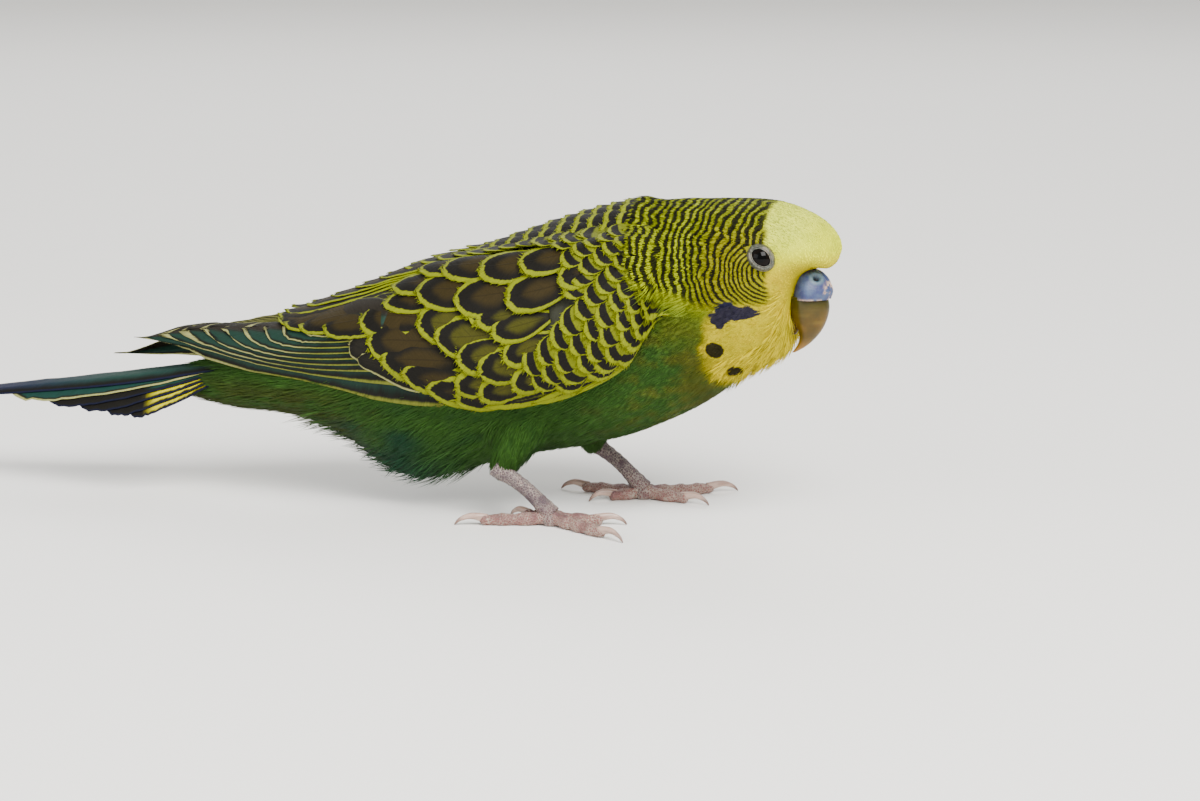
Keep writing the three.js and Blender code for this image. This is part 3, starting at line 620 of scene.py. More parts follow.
def coat_material(name, on_skin=False):
    """Fine plumage: ground colour, dark bars and spots, and painted shade at the strands' roots and on the
    skin under the coat.
    """
    n = Look(name, 0.7, Specular_IOR_Level=0.1)
    bars, shows, soot_share = n.numbers("bar")
    along, lot, off_spot = n.numbers("hair")
    swing = n.math("FRACT", bars + lot * (0.0 if on_skin else 0.24))
    off_bar = abs(swing - 0.5) * 2.0
    ink = n.step(soot_share - off_bar, -0.09, 0.09) * shows
    patches = n.noise(420, 3)
    colour = n.attribute("ground_colour", "Color")
    colour = n.tint(colour, n.step(patches, 0.35, 0.75) * 0.35, (0.55, 0.62, 0.5))
    colour = n.tint(colour, n.step(lot, 0.0, 1.0) * 0.22, (0.62, 0.7, 0.6))
    colour = n.blend(ink * 0.96, colour, SOOT)
    spot = n.blend(n.attribute("blue"), SOOT * 0.8, SPOT_BLUE)
    colour = n.blend(n.step(off_spot, 0.12, -0.12) * 0.97, colour, spot)
    if on_skin:
        # Painted shade: the skin under the coat is darkened, as the shade deep inside the coat.
        colour = n.tint(colour, 1.0, (0.6, 0.6, 0.55))
    else:
        # Painted shade: each strand darker towards its root, where the coat shades itself.
        colour = n.tint(colour, n.step(along, 0.6, 0.0) * 0.42, (0.3, 0.32, 0.3))
    n.surface(colour, patches * 0.25 + 0.55)
    n.bump(n.noise(2600), 0.00006, 0.35)
    return n.material


def vane_material(name):
    """Wing and tail feathers: a pale rim, soot inside it, the vane's own colour, and shaft and barbs."""
    n = Look(name, 0.62, Specular_IOR_Level=0.12)
    across, along, inset = n.numbers("plume")
    rim, band, softness = n.numbers("marks")
    aside = abs(across)
    barb = along - aside * 0.85
    own = n.attribute("lot") * 37.0 + n.math("SIGN", across)
    strands = n.noise(1.0, 2, at=n.join(barb * 2.6, aside * 0.2, own))
    fine = n.noise(1.0, 1, at=n.join(barb * 8.5, aside * 0.4, own))
    broad = n.noise(1.0, 1, at=n.join(across * 0.4, along * 0.4, own))
    saw = ((fine - 0.5) * 0.5 + (strands - 0.5)) * 0.38 + (broad - 0.5) * 0.45
    inward = saw * rim + inset - rim
    past_rim = n.step(inward, -0.1, 0.12)
    past_band = n.step(saw * 0.9 + inward - band, 0.0, softness)
    inner = n.blend(past_band, SOOT, n.attribute("vane_colour", "Color"))
    colour = n.blend(past_rim, n.attribute("rim_colour", "Color"), inner)
    colour = n.tint(colour, n.step(strands, 0.45, 0.75) * 0.4, (0.5, 0.55, 0.4))
    colour = n.tint(colour, n.step(fine, 0.5, 0.75) * 0.35, (0.55, 0.6, 0.45))
    colour = n.tint(colour, n.step(fine, 0.5, 0.25) * 0.3, (1.35, 1.3, 1.2))
    shaft = n.step(aside, 0.15, 0.06)
    colour = n.tint(colour, shaft * 0.35, (0.3, 0.25, 0.2))
    n.surface(colour, fine * 0.25 + 0.5)
    n.bump(fine * 0.7 + strands + shaft * 0.6, 0.00012, 0.5)
    return n.material


def scaly_material(name, ground, pale, pink):
    """Bare leg skin: small pale-edged scales, pinker low down."""
    n = Look(name, 0.5, Specular_IOR_Level=0.35, **THIN_FLESH)
    scales = n.cells(2300, "DISTANCE_TO_EDGE")
    soft = n.noise(300, 4, 0.6)
    height = n.split(n.where())[2]
    colour = n.blend(n.step(soft + 0.3 - height * 90.0, 0.3, 0.85), ground, pink)
    colour = n.blend(n.step(n.noise(1200), 0.4, 0.75) * 0.4, colour, ground * 0.6)
    colour = n.blend(n.step(scales, 0.2, 0.03) * n.step(soft, 0.35, 0.6), colour, pale)
    n.surface(colour, soft * 0.3 + 0.36)
    n.bump(n.step(scales, 0.0, 0.3), 0.0002, 0.8)
    return n.material


def bill_material():
    """Olive horn in level layers, greyer under the cere and browner at the tip."""
    n = Look("Bill horn", 0.36, Specular_IOR_Level=0.3, **THIN_FLESH)
    height = n.split(n.where())[2]
    layers = n.noise(1.0, 3, at=n.where((160, 160, 1100)))
    mottle = n.noise(420, 3)
    colour = n.blend(n.step(mottle, 0.3, 0.75), dye("423200"), dye("5c4200"))
    colour = n.blend(n.step(height, 0.0385, 0.0435), colour, dye("302c02"))
    colour = n.blend(n.step(height, 0.0362, 0.0335), colour, dye("7c5604"))
    colour = n.blend(n.step(layers, 0.5, 0.75) * 0.3, colour, dye("6a5a1c"))
    n.surface(colour, layers * 0.3 + 0.2)
    n.bump(layers + mottle * 0.5, 0.00012, 0.5)
    return n.material


def cere_material():
    """Violet-blue waxy skin, paler round the nostrils, with a dry crust at its lower border and painted shade
    in the nostrils.
    """
    n = Look("Cere skin", 0.42, Specular_IOR_Level=0.4, Subsurface_Weight=0.15, Subsurface_Scale=0.001)
    soft = n.noise(420, 3)
    crust = n.attribute("crust")
    colour = n.blend(n.step(soft, 0.3, 0.7), dye("262e5c"), dye("445472"))
    colour = n.blend(n.step(n.attribute("near_nostril"), 0.1, 1.0) * 0.7, colour, dye("587078"))
    colour = n.blend(crust * n.step(n.noise(900, 3), 0.4, 0.62), colour, dye("c9a98c"))
    colour = n.blend(crust * n.step(n.noise(1500), 0.6, 0.7), colour, dye("5a2a1c"))
    # Painted shade: the nostrils' openings near black, as the shade inside them.
    colour = n.blend(n.attribute("nostril"), colour, dye("140c10"))
    n.surface(colour, soft * 0.3 + 0.3)
    n.bump(soft + n.cells(2600) * 0.5, 0.00014, 0.5)
    return n.material


def eye_material():
    """A black pupil in an iris almost as dark, glossy all over."""
    n = Look("Eye", 0.04, Specular_IOR_Level=0.1)
    off_axis = n.attribute("off_axis")
    threads = n.noise(2200, 3)
    iris = n.blend(threads, dye("050302"), dye("0c0704"))
    colour = n.blend(n.step(off_axis, 0.50, 0.58), dye("020202"), iris)
    colour = n.blend(n.step(off_axis, 0.84, 0.95), colour, dye("0c0a0a"))
    n.surface(colour, threads * 0.02 + 0.03)
    return n.material


def lid_material():
    """The beaded grey ring round the eye, dark along its rim, with painted shade in the groove between its
    bead rows.
    """
    n = Look("Lid skin", 0.5, **THIN_FLESH)
    beads = n.cells(3200)
    colour = n.blend(n.step(beads, 0.2, 0.6), dye("5a5c4e"), dye("33352b"))
    colour = n.blend(n.step(n.noise(700), 0.45, 0.7), colour, dye("6a6558"))
    # The rim attribute holds the dark inner edge and the painted shade in the groove between the bead rows.
    colour = n.blend(n.attribute("rim"), colour, dye("1c1a18"))
    n.surface(colour, beads * 0.3 + 0.35)
    n.bump(beads * -1.0 + 1.0, 0.00012, 0.7)
    return n.material


def claw_material():
    """Pinkish horn, browner towards the point."""
    n = Look("Claw horn", 0.3, Coat_Weight=0.2, Coat_Roughness=0.2, Subsurface_Weight=0.1,
             Subsurface_Scale=0.001)
    grain = n.noise(1.0, 3, at=n.where((300, 300, 900)))
    colour = n.blend(n.step(grain, 0.35, 0.7), dye("b59a8c"), dye("8f7468"))
    colour = n.blend(n.step(n.attribute("along"), 0.55, 1.0), colour, dye("6a5148"))
    n.surface(colour, grain * 0.25 + 0.22)
    n.bump(grain, 0.0001, 0.4)
    return n.material


def shade_bed_material():
    """The ground under the wing's feathers, painted near black as the shade in the gaps between them."""
    n = Look("Wing bed in painted shade", 0.8)
    n.surface(n.blend(n.noise(500), dye("14160c"), dye("26280f")), 0.8)
    n.bump(n.noise(1800), 0.0001)
    return n.material


def floor_material():
    n = Look("Floor", 0.75)
    n.surface(n.blend(n.noise(6, 3), dye("f0efec"), dye("f4f3f0")), 0.75)
    return n.material


# The skin

EYE_S, EYE_Z, EYE_OUT, EYE_RADIUS, EYE_SEAT = 41.5, 51.5, 9.6, 2.35, 0.7
EYE_FACING = (0.36, 0, 0.2)  # added to straight out
LID_REACH, SOCKET_REACH = 2.0, 1.7
LEGS = {
    "right": dict(side=-1, hip=(-3, 5, 23), ankle=(-11, 12.6, 9.0), joint=(0, 13)),
    "left": dict(side=1, hip=(5, 5, 24), ankle=(0.6, 12.6, 9.8), joint=(11.4, 13)),
}
coat_depth = profile([(-78, 1.2), (-40, 1.6), (-10, 1.5), (14, 1.4), (28, 1.1), (38, 0.8), (52.8, 0.7)])
FACE_START, FACE_RINGS = 36.0, 30
SKIN_VOXEL, SKIN_SMOOTHINGS = 0.0007, 3


def eye_place(side):
    out = unit(place(EYE_S, side, 0) - place(EYE_S, 0, 0) + np.array(EYE_FACING))
    return place(EYE_S, side * EYE_OUT, EYE_Z), out


def off_line(points, centre, out):
    """How far points are along a line, and how far off it."""
    deep = (points - centre) @ out
    return deep, np.linalg.norm(points - centre - out * deep[:, None], axis=1)


def thigh_path(leg):
    x, y, z = leg["ankle"]
    hip = leg["hip"]
    knee = ((hip[0] + x) / 2 - 0.5, hip[1] + 4.4, 15.5)
    return curve_through(np.array([hip, knee, (x + 0.6, y, z - 0.4)]) * (1, leg["side"], 1), 14)


def body_rings():
    """Rings of the body without its coat, closer together on the face."""
    face = FACE_START + (BROW - 0.8 - FACE_START) * np.sin(np.linspace(0, math.pi / 2, FACE_RINGS))
    angle = np.linspace(0, 2 * math.pi, 56, endpoint=False)
    for s in np.concatenate([np.arange(RUMP_END + 0.6, FACE_START, 1.6), face]):
        d, level = coat_depth(s), widest_level(s)
        yield section(s, angle, max(float(body_width(s) - d), 0.3), back_line(s) - d, level,
                      np.minimum(belly_line(s) + d, level - 0.2), lower_roundness(s))


def build_skin():
    """Body and thighs grown together, smoothed, with a shallow socket for each eye."""
    bm = loft(list(body_rings()))
    for leg in LEGS.values():
        path = thigh_path(leg)
        t = np.linspace(0, 1, len(path))
        loft(tube_rings(path, np.maximum(1.6 + 6.2 * (1 - t) ** 0.9 - 1.2 * (1 - t), 1.2), 20), bm)
    rough = shown("skin_rough", finish_mesh("skin_rough", bm))
    remesh = rough.modifiers.new("Remesh", "REMESH")
    remesh.mode, remesh.voxel_size, remesh.use_smooth_shade = "VOXEL", SKIN_VOXEL, True
    even = bpy.data.meshes.new_from_object(rough.evaluated_get(bpy.context.evaluated_depsgraph_get()))
    bpy.data.objects.remove(rough)
    bm = bmesh.new()
    bm.from_mesh(even)
    for _ in range(SKIN_SMOOTHINGS):
        bmesh.ops.smooth_vert(bm, verts=bm.verts, factor=0.5, use_axis_x=True, use_axis_y=True,
                              use_axis_z=True)
    mesh = finish_mesh("skin", bm)
    points = points_of(mesh)
    for side in (1, -1):
        centre, out = eye_place(side)
        deep, off = off_line(points, centre, out)
        sink = np.where(deep > 0, (deep - 1.0) * smooth(SOCKET_REACH - off, 0, 0.5), 0)
        points = points - out * sink[:, None]
    mesh.vertices.foreach_set("co", metres(points).ravel())
    mesh.update()
    return mesh


def wear_markings(mesh, points, along, lot):
    """Keeps the plumage's colour and markings with each vertex, for the coat's material."""
    bars = bar_field(points)
    spot, blue = spot_field(points)
    paint(mesh, "ground_colour", plumage(points))
    paint(mesh, "bar", np.stack(bars, -1))
    paint(mesh, "hair", np.stack([along, lot, spot], -1))
    paint(mesh, "blue", blue)


skin_mesh = build_skin()
skin = Skin(skin_mesh)
wear_markings(skin_mesh, skin.points, np.full(len(skin.points), 0.3), np.full(len(skin.points), 0.5))
new_piece("skin", skin_mesh, "body_plumage", coat_material("Plumage ground in painted shade", on_skin=True),
          ("head", "neck", "breast", "belly", "rump", "thigh_right", "thigh_left"))

# The coat: tufts of fine strands that follow the lie of the feathers

FACE = place(47.0, 0.0, 46.0)


def lie(points, normals):
    """The way the coat lies: out from the bill on the face, then back, and down on flanks and thighs."""
    s, out, z = unplace(points)
    turn = heading(s)
    back = np.stack([-np.cos(turn), -np.sin(turn), np.zeros_like(s)], -1)
    flank = smooth(back_line(s) - 6 - z, 0, 16) * smooth(s, -64, -30)
    vent = smooth(-s, 14, 30) * smooth(-s, 60, 44) * smooth(20 - z, 0, 8)
    back[:, 2] = -0.16 - 0.42 * flank - 0.25 * vent
    away = points - FACE
    near = smooth(24 - np.linalg.norm(away, axis=1), 0, 15)
    way = mix(back, unit(away), near[:, None])
    for leg in LEGS.values():
        path = thigh_path(leg)
        d = np.linalg.norm(points[:, None] - path[None], axis=2)
        i = np.clip(d.argmin(1), 3, len(path) - 2)
        on = smooth(8.0 - d.min(1), 0, 3) * smooth(22 - z, 0, 5)
        way = mix(way, unit(path[i + 1] - path[i - 1]) + (0, 0, -0.4), on[:, None])
    return unit(way - normals * (way * normals).sum(1, keepdims=True))


def under_wing(points, slack=2.5):
    s, out, z = unplace(points)
    front = WING_FRONT - 4 - 5.5 * smooth(z, 47, 53)
    inside = (s < front) & (s > -62) & (z > wing_hem(s) + slack)
    tail_side = (s < -64) & (z > 20.5) & (np.abs(out) > 3.0)
    return tail_side | inside & ((np.abs(out) > wing_ridge(s) + slack) | (s < 13))


def bare(points):
    """Places without feathers: the rings of the eyes, and under the cere and bill."""
    s, out, z = unplace(points)
    hidden = (np.abs(out) < 3.4) & (s > 43.2) & (z < 48.2) & (z > 35.5)
    for side in (1, -1):
        deep, off = off_line(points, *eye_place(side))
        hidden |= (deep > 0) & (off < LID_REACH - 0.15)
    return hidden


strand_long = profile([(-78, 8.5), (-50, 8), (-32, 8.5), (-10, 5.6), (10, 4.6), (24, 3.4), (32, 2.7),
                       (40, 2.1), (47, 1.7), (53, 1.5)])
root_apart = profile([(-78, 1.35), (-30, 1.25), (0, 1.1), (14, 1.0), (26, 0.8), (34, 0.68), (42, 0.62),
                      (53, 0.6)])
TAPERS = {3: (1.0, 0.75), 4: (1.0, 0.9, 0.62)}  # for strands of so many rows, before the point
ROOT_DEEP = 0.15


def strand_faces(rows):
    """The faces of one strand: three-sided, closed at the root and pointed at the tip."""
    faces, tip = [(0, 2, 1)], 3 * (rows - 1)
    for a in range(0, tip, 3):
        for i, j in ((0, 1), (1, 2), (2, 0)):
            if a + 3 < tip:
                faces += [(a + i, a + j, a + 3 + j), (a + i, a + 3 + j, a + 3 + i)]
            else:
                faces += [(a + i, a + j, tip)]
    return np.array(faces)


def strands(base, points, normals, long, wide, lift, rows, per_tuft, fan, draw):
    """Points and faces of tufts of tapered strands, each marched along the base with the lie."""
    tuft = np.repeat(np.arange(len(points)), per_tuft)
    count = len(tuft)
    lot = draw.random(count)
    way = lie(points, normals)[tuft]
    side = np.cross(normals[tuft], way)
    spread = draw.uniform(-1, 1, count) * fan
    p = points[tuft] + side * (draw.uniform(-0.5, 0.5, count) * long[tuft] * 0.18)[:, None]
    p = p + way * (draw.uniform(-0.12, 0.12, count) * long[tuft])[:, None]
    stride = long[tuft] * draw.uniform(0.75, 1.15, count) / (rows - 1)
    half = wide * draw.uniform(0.75, 1.25, count) / 2
    top = lift[tuft] * draw.uniform(0.5, 1.5, count)
    verts = []
    at, n = base.nearest(p)
    for k in range(rows):
        t = k / (rows - 1)
        line = at + n * (-ROOT_DEEP + top * t ** 1.2)[:, None]
        way = unit(lie(at, n) + side * (spread * (0.5 + t))[:, None])
        side = np.cross(n, way)
        if k == rows - 1:
            verts.append(line)
        else:
            edge = (half * TAPERS[rows][k])[:, None]
            verts += [line + side * edge, line - side * edge, line - n * edge * 0.9]
            at, n = base.nearest(at + way * stride[:, None])
    size = len(verts)
    along = np.append(np.repeat(np.arange(rows - 1) / (rows - 1), 3), 1.0)
    local = np.stack([[0.2, 0.8, 0.5] * (rows - 1) + [0.5], along], -1)
    triangles = strand_faces(rows)[None] + (np.arange(count) * size)[:, None, None]
    return (np.stack(verts, 1).reshape(-1, 3), triangles.reshape(-1, 3), np.tile(along, count),
            np.repeat(lot, size), np.repeat(tuft, size), np.tile(local, (count, 1)))


def unwrap(points):
    """The skin cut along the belly and laid flat, between 0 and 1."""
    s, out, z = unplace(points)
    level = widest_level(s)
    tall = np.where(z > level, back_line(s) - level, level - belly_line(s))
    turn = np.arctan2(-out / np.maximum(body_width(s), 1), (z - level) / np.maximum(tall, 1))
    return np.stack([0.02 + 0.96 * (s - RUMP_END) / (BROW - RUMP_END), 0.5 + 0.48 * turn / math.pi], -1)


PATCH = 0.003
plumage_look = coat_material("Plumage")


def coat_piece(name, slot, base, points, normals, long, lift, rows, per_tuft, wide, fan, seed):
    """One piece of the coat, with a tuft at each point. Long and lift are one number for each tuft."""
    verts, tris, along, lot, tuft, local = strands(base, points, normals, long, wide, lift, rows, per_tuft,
                                                   fan, np.random.default_rng(seed))
    mesh = mesh_from(name, verts, tris)
    wear_markings(mesh, verts, along, lot)
    lay_out(mesh, "OFBake", unwrap(points)[tuft] + (local - 0.5) * PATCH)
    new_piece(name, mesh, slot, plumage_look)


def longer_places(points):
    """How much longer the strands are on bib and vent, and shorter on the thighs."""
    s, out, z = unplace(points)
    bib = smooth(s, 27, 33) * smooth(mix(33, 36, smooth(s, 36, 43)) - z, -3, 3)
    vent = smooth(-s, 22, 30) * smooth(-s, 48, 38) * smooth(14 - z, 0, 6)
    thigh = smooth(17 - z, 0, 4) * smooth(np.abs(out), 8, 10) * smooth(s, -14, -8)
    return 1 + 0.75 * bib + 0.25 * vent - 0.3 * thigh


QUICK_APART = 1.0
roots, root_normals = skin.scatter(lambda p: root_apart(unplace(p)[0]) * QUICK_APART, RANDOM)
feathered = ~(bare(roots) | under_wing(roots))
roots, root_normals = roots[feathered], root_normals[feathered]

# Name, slot, where it starts and ends along the bird, rows and strands of a tuft, width, lift of its
# shortest and longest strands, fan, seed
COAT = [
    ("coat_face", "face_plumage", 41, 60, 3, 8, 0.26, (0.2, 0.5), 0.14, 1),
    ("coat_cheek", "face_plumage", 33, 41, 3, 8, 0.26, (0.2, 0.5), 0.12, 7),
    ("coat_crown", "face_plumage", 25, 33, 3, 8, 0.27, (0.22, 0.55), 0.12, 2),
    ("coat_nape", "nape_plumage", 8, 25, 4, 7, 0.3, (0.2, 0.6), 0.12, 3),
    ("coat_breast", "body_plumage", -14, 8, 4, 7, 0.34, (0.35, 0.9), 0.16, 4),
    ("coat_belly", "body_plumage", -42, -14, 4, 7, 0.38, (0.5, 1.1), 0.2, 5),
    ("coat_rump", "body_plumage", -90, -42, 4, 6, 0.45, (0.35, 0.9), 0.16, 6)]
root_s = unplace(roots)[0]
for name, slot, start, end, rows, per_tuft, wide, lift, fan, seed in COAT:
    inside = (root_s >= start) & (root_s < end)
    long = strand_long(root_s[inside]) * longer_places(roots[inside])
    coat_piece(name, slot, skin, roots[inside], root_normals[inside], long, mix(*lift, smooth(long, 2, 8)),
               rows, per_tuft, wide, fan, seed)


def loose_tufts(name, slot, base, where, apart, long, wide, lift, fan, seed, per_tuft=5):
    """A second, looser layer that stands further off the base."""
    draw = np.random.default_rng(seed)
    points, normals = base.scatter(lambda p: np.where(where(p), apart, 50.0), draw)
    on = where(points)
    points, normals = points[on], normals[on]
    long = long * draw.uniform(0.7, 1.2, len(points))
    coat_piece(name, slot, base, points, normals, long, np.full(len(points), lift), 4, per_tuft, wide, fan,
               seed + 1)


def at_vent(points):
    s, out, z = unplace(points)
    return (s > -46) & (s < -15) & (z < belly_line(s) + 7) & (np.abs(out) < 14)


def at_chin(points):
    s, out, z = unplace(points)
    return (s > 33) & (s < 44.5) & (z < belly_line(s) + 5)


# The cape's lower edge on the wing's chart, as s and q, and then as s at each level
CAPE_EDGE = [(24.0, 0.01), (23.5, 0.14), (22.5, 0.29), (20.0, 0.43), (18.0, 0.55), (16.6, 0.66), (16.0, 0.8),
             (15.0, 1.0)]


def wing_height(s, q):
    return float(wing_skin(np.array(s), np.array(q))[2])


cape_edge = profile([(wing_height(s, q), s) for s, q in CAPE_EDGE])


def cape_surface(side):
    """What the nape's longest feathers lie on: the front of the wing and the mantle's first rows."""
    rows = []
    q = np.linspace(0.03, 1.0, 34)
    for s in np.arange(12.0, 29.0, 0.6):
        wing = wing_point(np.full_like(q, s), q, np.full_like(q, 0.45)) * (1, -side, 1)
        out = np.linspace(float(wing_ridge(s)), 0.0, 14)[1:] * -side
        rise = mix(-1.2, 0.2, float(smooth(s, 19, 13)))
        row = np.concatenate([wing, mantle_point(np.full_like(out, s), out, rise)])
        near, normal = skin.nearest(row)
        share = np.maximum(smooth(s, 20.5, 25.5), smooth(row[:, 2], 54, 60) * smooth(s, 15.0, 22.0))
        rows.append(mix(row, near + normal * 0.2, share[:, None]))
    grid = np.stack(rows)
    tri = halved(grid_quads(np.arange(grid.shape[0] * grid.shape[1]).reshape(grid.shape[:2])))
    p = grid.reshape(-1, 3)
    a, b, c = p[tri].transpose(1, 0, 2)
    if (np.cross(b - a, c - a) * (a - place(18.0, 0.0, 40.0))).sum() < 0:
        tri = tri[:, ::-1]
    return mesh_from("cape", p, tri)


def on_cape(points):
    s = unplace(points)[0]
    return (s - cape_edge(points[:, 2]) > 2.2) & (s < 27.5) & (points[:, 2] > 38.5)


for name, side, seed in (("cape_right", -1, 81), ("cape_left", 1, 91)):
    surface = cape_surface(side)
    loose_tufts(name, "nape_plumage", Skin(surface), on_cape, 0.95, 4.8, 0.3, 0.3, 0.12, seed, 7)
    bpy.data.meshes.remove(surface)
loose_tufts("wisps_vent", "body_plumage", skin, at_vent, 2.2, 9.0, 0.34, 2.6, 0.35, 51)
loose_tufts("wisps_chin", "face_plumage", skin, at_chin, 1.3, 4.2, 0.26, 1.1, 0.25, 71)

# Wing and tail feathers: thin closed vanes on the charts

# Half width along a vane, from root to tip, as a share of its widest
ROUND = profile([(0, 0.42), (0.25, 0.8), (0.5, 1.0), (0.72, 0.97), (0.86, 0.8), (0.95, 0.5), (1.0, 0.08)])
LONG = profile([(0, 0.5), (0.3, 0.9), (0.7, 1.0), (0.88, 0.86), (0.96, 0.55), (1.0, 0.08)])
POINTED = profile([(0, 0.8), (0.2, 1.0), (0.55, 0.9), (0.85, 0.52), (1.0, 0.05)])
VANE_THICK, FRAY_THICK = 0.16, 0.16
TIP_ZONE = 0.8  # from here to the tip a vane's end may be uneven
FRAY_REACH = 0.52  # how far back from the tip loose barbs may stand
FRAY_MARKS = (0.6, 0.2, 1.0)
CREST_FLAT = 0.35  # how much flatter than the tip a crescent's inner edge is


def quill_place(quill, across, along, share):
    """Chart places of points across and along a quill that may sweep to one side."""
    (s, q), (ds, dq), span, length, sweep = quill
    aside = across + sweep * share * share * length
    return s + ds * along - dq * aside, q + (dq * along + ds * aside) / span


def told(value, *about):
    """A colour or marks: the same all over, or worked out from the place."""
    return value(*about) if callable(value) else value


def twice(values):
    return np.concatenate([values, values])


class Plumes:
    """Gathers vanes into one mesh."""

    def __init__(self, seed):
        self.draw = np.random.default_rng(seed)
        self.parts = {}
        self.total, self.count = 0, 0

    def keep(self, tri, **values):
        size = len(values["co"])
        for key, value in (("tri", tri + self.total), ("tile", np.full(size, self.count)), *values.items()):
            self.parts.setdefault(key, []).append(value)
        self.total += size

    def add(self, chart, root, tip, width, outline, depth, colours, marks, rows=16, columns=13,
            thick=VANE_THICK, tilt=0.1, crown=0.25, span=1.0, sweep=0.0, ragged=0.05, fringe=0,
            crescent=False):
        """One vane from root to tip on a chart. depth(v) is how high it lies, colours are (vane, rim)."""
        v = np.linspace(0, 1, rows) ** 0.85
        wide = outline(v) * width / 2
        wide = wide * (1 + self.draw.uniform(-ragged, ragged, rows) * smooth(v, 0.5, 0.9))
        V, U = np.meshgrid(v, np.linspace(-1, 1, columns), indexing="ij")
        d = np.array([tip[0] - root[0], (tip[1] - root[1]) * span])
        length = np.linalg.norm(d)
        quill = root, d / length, span, length, sweep
        sign = -1 if d[0] < 0 else 1
        uneven = self.draw.uniform(-0.3, 0.3, columns) * ragged * 1.5
        go = V * np.where(V > TIP_ZONE, 1 + uneven[None] * (V - TIP_ZONE) / (1 - TIP_ZONE), 1) * length
        across = U * wide[:, None]
        a, b = quill_place(quill, across, go, V)
        h = depth(V) - crown * U * U * np.minimum(1, wide[:, None] / 3) - U * sign * tilt
        h = h + 0.05 * waver(np.stack([a, b * span, 0 * a + self.count], -1), 4.0, 40)
        top, bottom = chart(a, b, h), chart(a, b, h - thick * (1 - 0.5 * V))
        co = np.concatenate([top.reshape(-1, 3), bottom.reshape(-1, 3)])
        n = rows * columns
        grid = np.arange(n).reshape(rows, columns)
        face = grid_quads(grid)
        rim = np.concatenate([grid[0, :-1], grid[:-1, -1], grid[-1, :0:-1], grid[:0:-1, 0]])
        after = np.roll(rim, -1)
        wall = np.stack([after, rim, rim + n, after + n], -1)
        tri = halved(np.concatenate([face, face[:, ::-1] + n, wall]))
        normal = np.cross(co[1] - co[0], co[columns] - co[0])
        if normal @ (top[rows // 2, columns // 2] - bottom[rows // 2, columns // 2]) < 0:
            tri = tri[:, ::-1]
        x, y = across.ravel(), (V * length).ravel()
        aside, on = x[:, None] - np.concatenate([wide, -wide]), y[:, None] - twice(v) * length
        inset = np.sqrt(aside ** 2 + on ** 2).min(1)
        if crescent:
            end = np.interp(np.abs(x), wide[::-1][:rows // 2], (v * length)[::-1][:rows // 2])
            end = mix(end, length * 0.97, CREST_FLAT)
            inset = np.minimum(inset * 5 + 0.3, np.maximum(end - y, 0) * 0.9 + 0.05)
        lower = -x * sign  # above 0 on the lower web
        vane, edge = (np.broadcast_to(told(c, lower, V.ravel()), (n, 3)) for c in colours)
        cell = np.stack([U.ravel() * 0.5 + 0.5, V.ravel()], -1) * (0.46, 0.94) + (0.02, 0.03)
        self.keep(tri, co=co, plume=twice(np.stack([x, y, inset], -1)),
                  marks=twice(np.broadcast_to(told(marks, lower, V.ravel(), length), (n, 3))),
                  lot=np.full(2 * n, self.draw.random()), vane_colour=twice(vane), rim_colour=twice(edge),
                  cell=np.concatenate([cell, cell + (0.5, 0)]))
        if fringe:
            self.fray(chart, quill, v, wide, depth, crown, tilt * sign, edge[-1], fringe)
        self.count += 1

    def fray(self, chart, quill, v, wide, depth, crown, tilt, colour, count):
        """Loose barb ends past the outline, each a thin closed spike."""
        draw, length = self.draw, quill[3]
        at = 1 - FRAY_REACH * draw.random(count) ** 1.3
        side = np.where(draw.random(count) < 0.5, -1.0, 1.0)
        reach = draw.uniform(0.225, 0.855, count)
        corners = []
        for step, inset, lift in ((0, 0.1, -0.02), (FRAY_THICK, 0.1, -0.02), (FRAY_THICK / 2, 0.16, -0.1)):
            share = np.clip(at + step / length, 0, 1)
            corners.append((side * (np.interp(share, v, wide) - inset), share * length, lift))
        x, y, _ = corners[0]
        corners.append((x + side * reach * draw.uniform(0.35, 0.75, count), y + reach, 0.03))
        co = []
        for across, along, lift in corners:
            share = along / length
            drop = crown * np.minimum(1, np.interp(share, v, wide) / 3) + side * tilt
            high = depth(np.minimum(share, 1)) - drop + lift
            co.append(chart(*quill_place(quill, across, along, share), high))
        co = np.stack(co, 1)
        up = np.cross(co[:, 1] - co[:, 0], co[:, 3] - co[:, 0])
        turned = (up * (co[:, 0] - co[:, 2])).sum(1) < 0
        co[turned] = co[turned][:, [1, 0, 2, 3]]
        tri = np.array([(0, 1, 3), (1, 2, 3), (2, 0, 3), (0, 2, 1)]) + 4 * np.arange(count)[:, None, None]
        colour = np.broadcast_to(colour, (4 * count, 3))
        self.keep(tri.reshape(-1, 3), co=co.reshape(-1, 3),
                  plume=np.repeat(np.stack([x, y, 0 * x], -1), 4, axis=0),
                  marks=np.broadcast_to(FRAY_MARKS, (4 * count, 3)), lot=np.repeat(draw.random(count), 4),
                  vane_colour=colour, rim_colour=colour,
                  cell=np.repeat(np.stack([0.26 + 0.2 * side, 0.9 * at], -1), 4, axis=0))

    def piece(self, name, slot, look, replaced=(), shape=None):
        """The gathered vanes as one piece. Shape may bring them to the other side."""
        parts = {key: np.concatenate(lists) for key, lists in self.parts.items()}
        co, tri = parts["co"], parts["tri"]
        if shape:
            co, tri = shape(co), tri[:, ::-1]
        mesh = mesh_from(name, co, tri)
        for key in ("plume", "marks", "lot", "vane_colour", "rim_colour"):
            paint(mesh, key, parts[key])
        across = math.ceil(math.sqrt(self.count))
        tile = np.stack([parts["tile"] % across, parts["tile"] // across], -1)
        lay_out(mesh, "OFBake", (parts["cell"] + tile) / across)
        mesh.shade_smooth()
        mesh.update()
        new_piece(name, mesh, slot, look, replaced)


def sunk(deep, power=0.7, top=0.0):
    """How high a vane lies: deep under the others at its root, on top of them at its tip."""
    return lambda v: mix(-deep, top, v ** power)


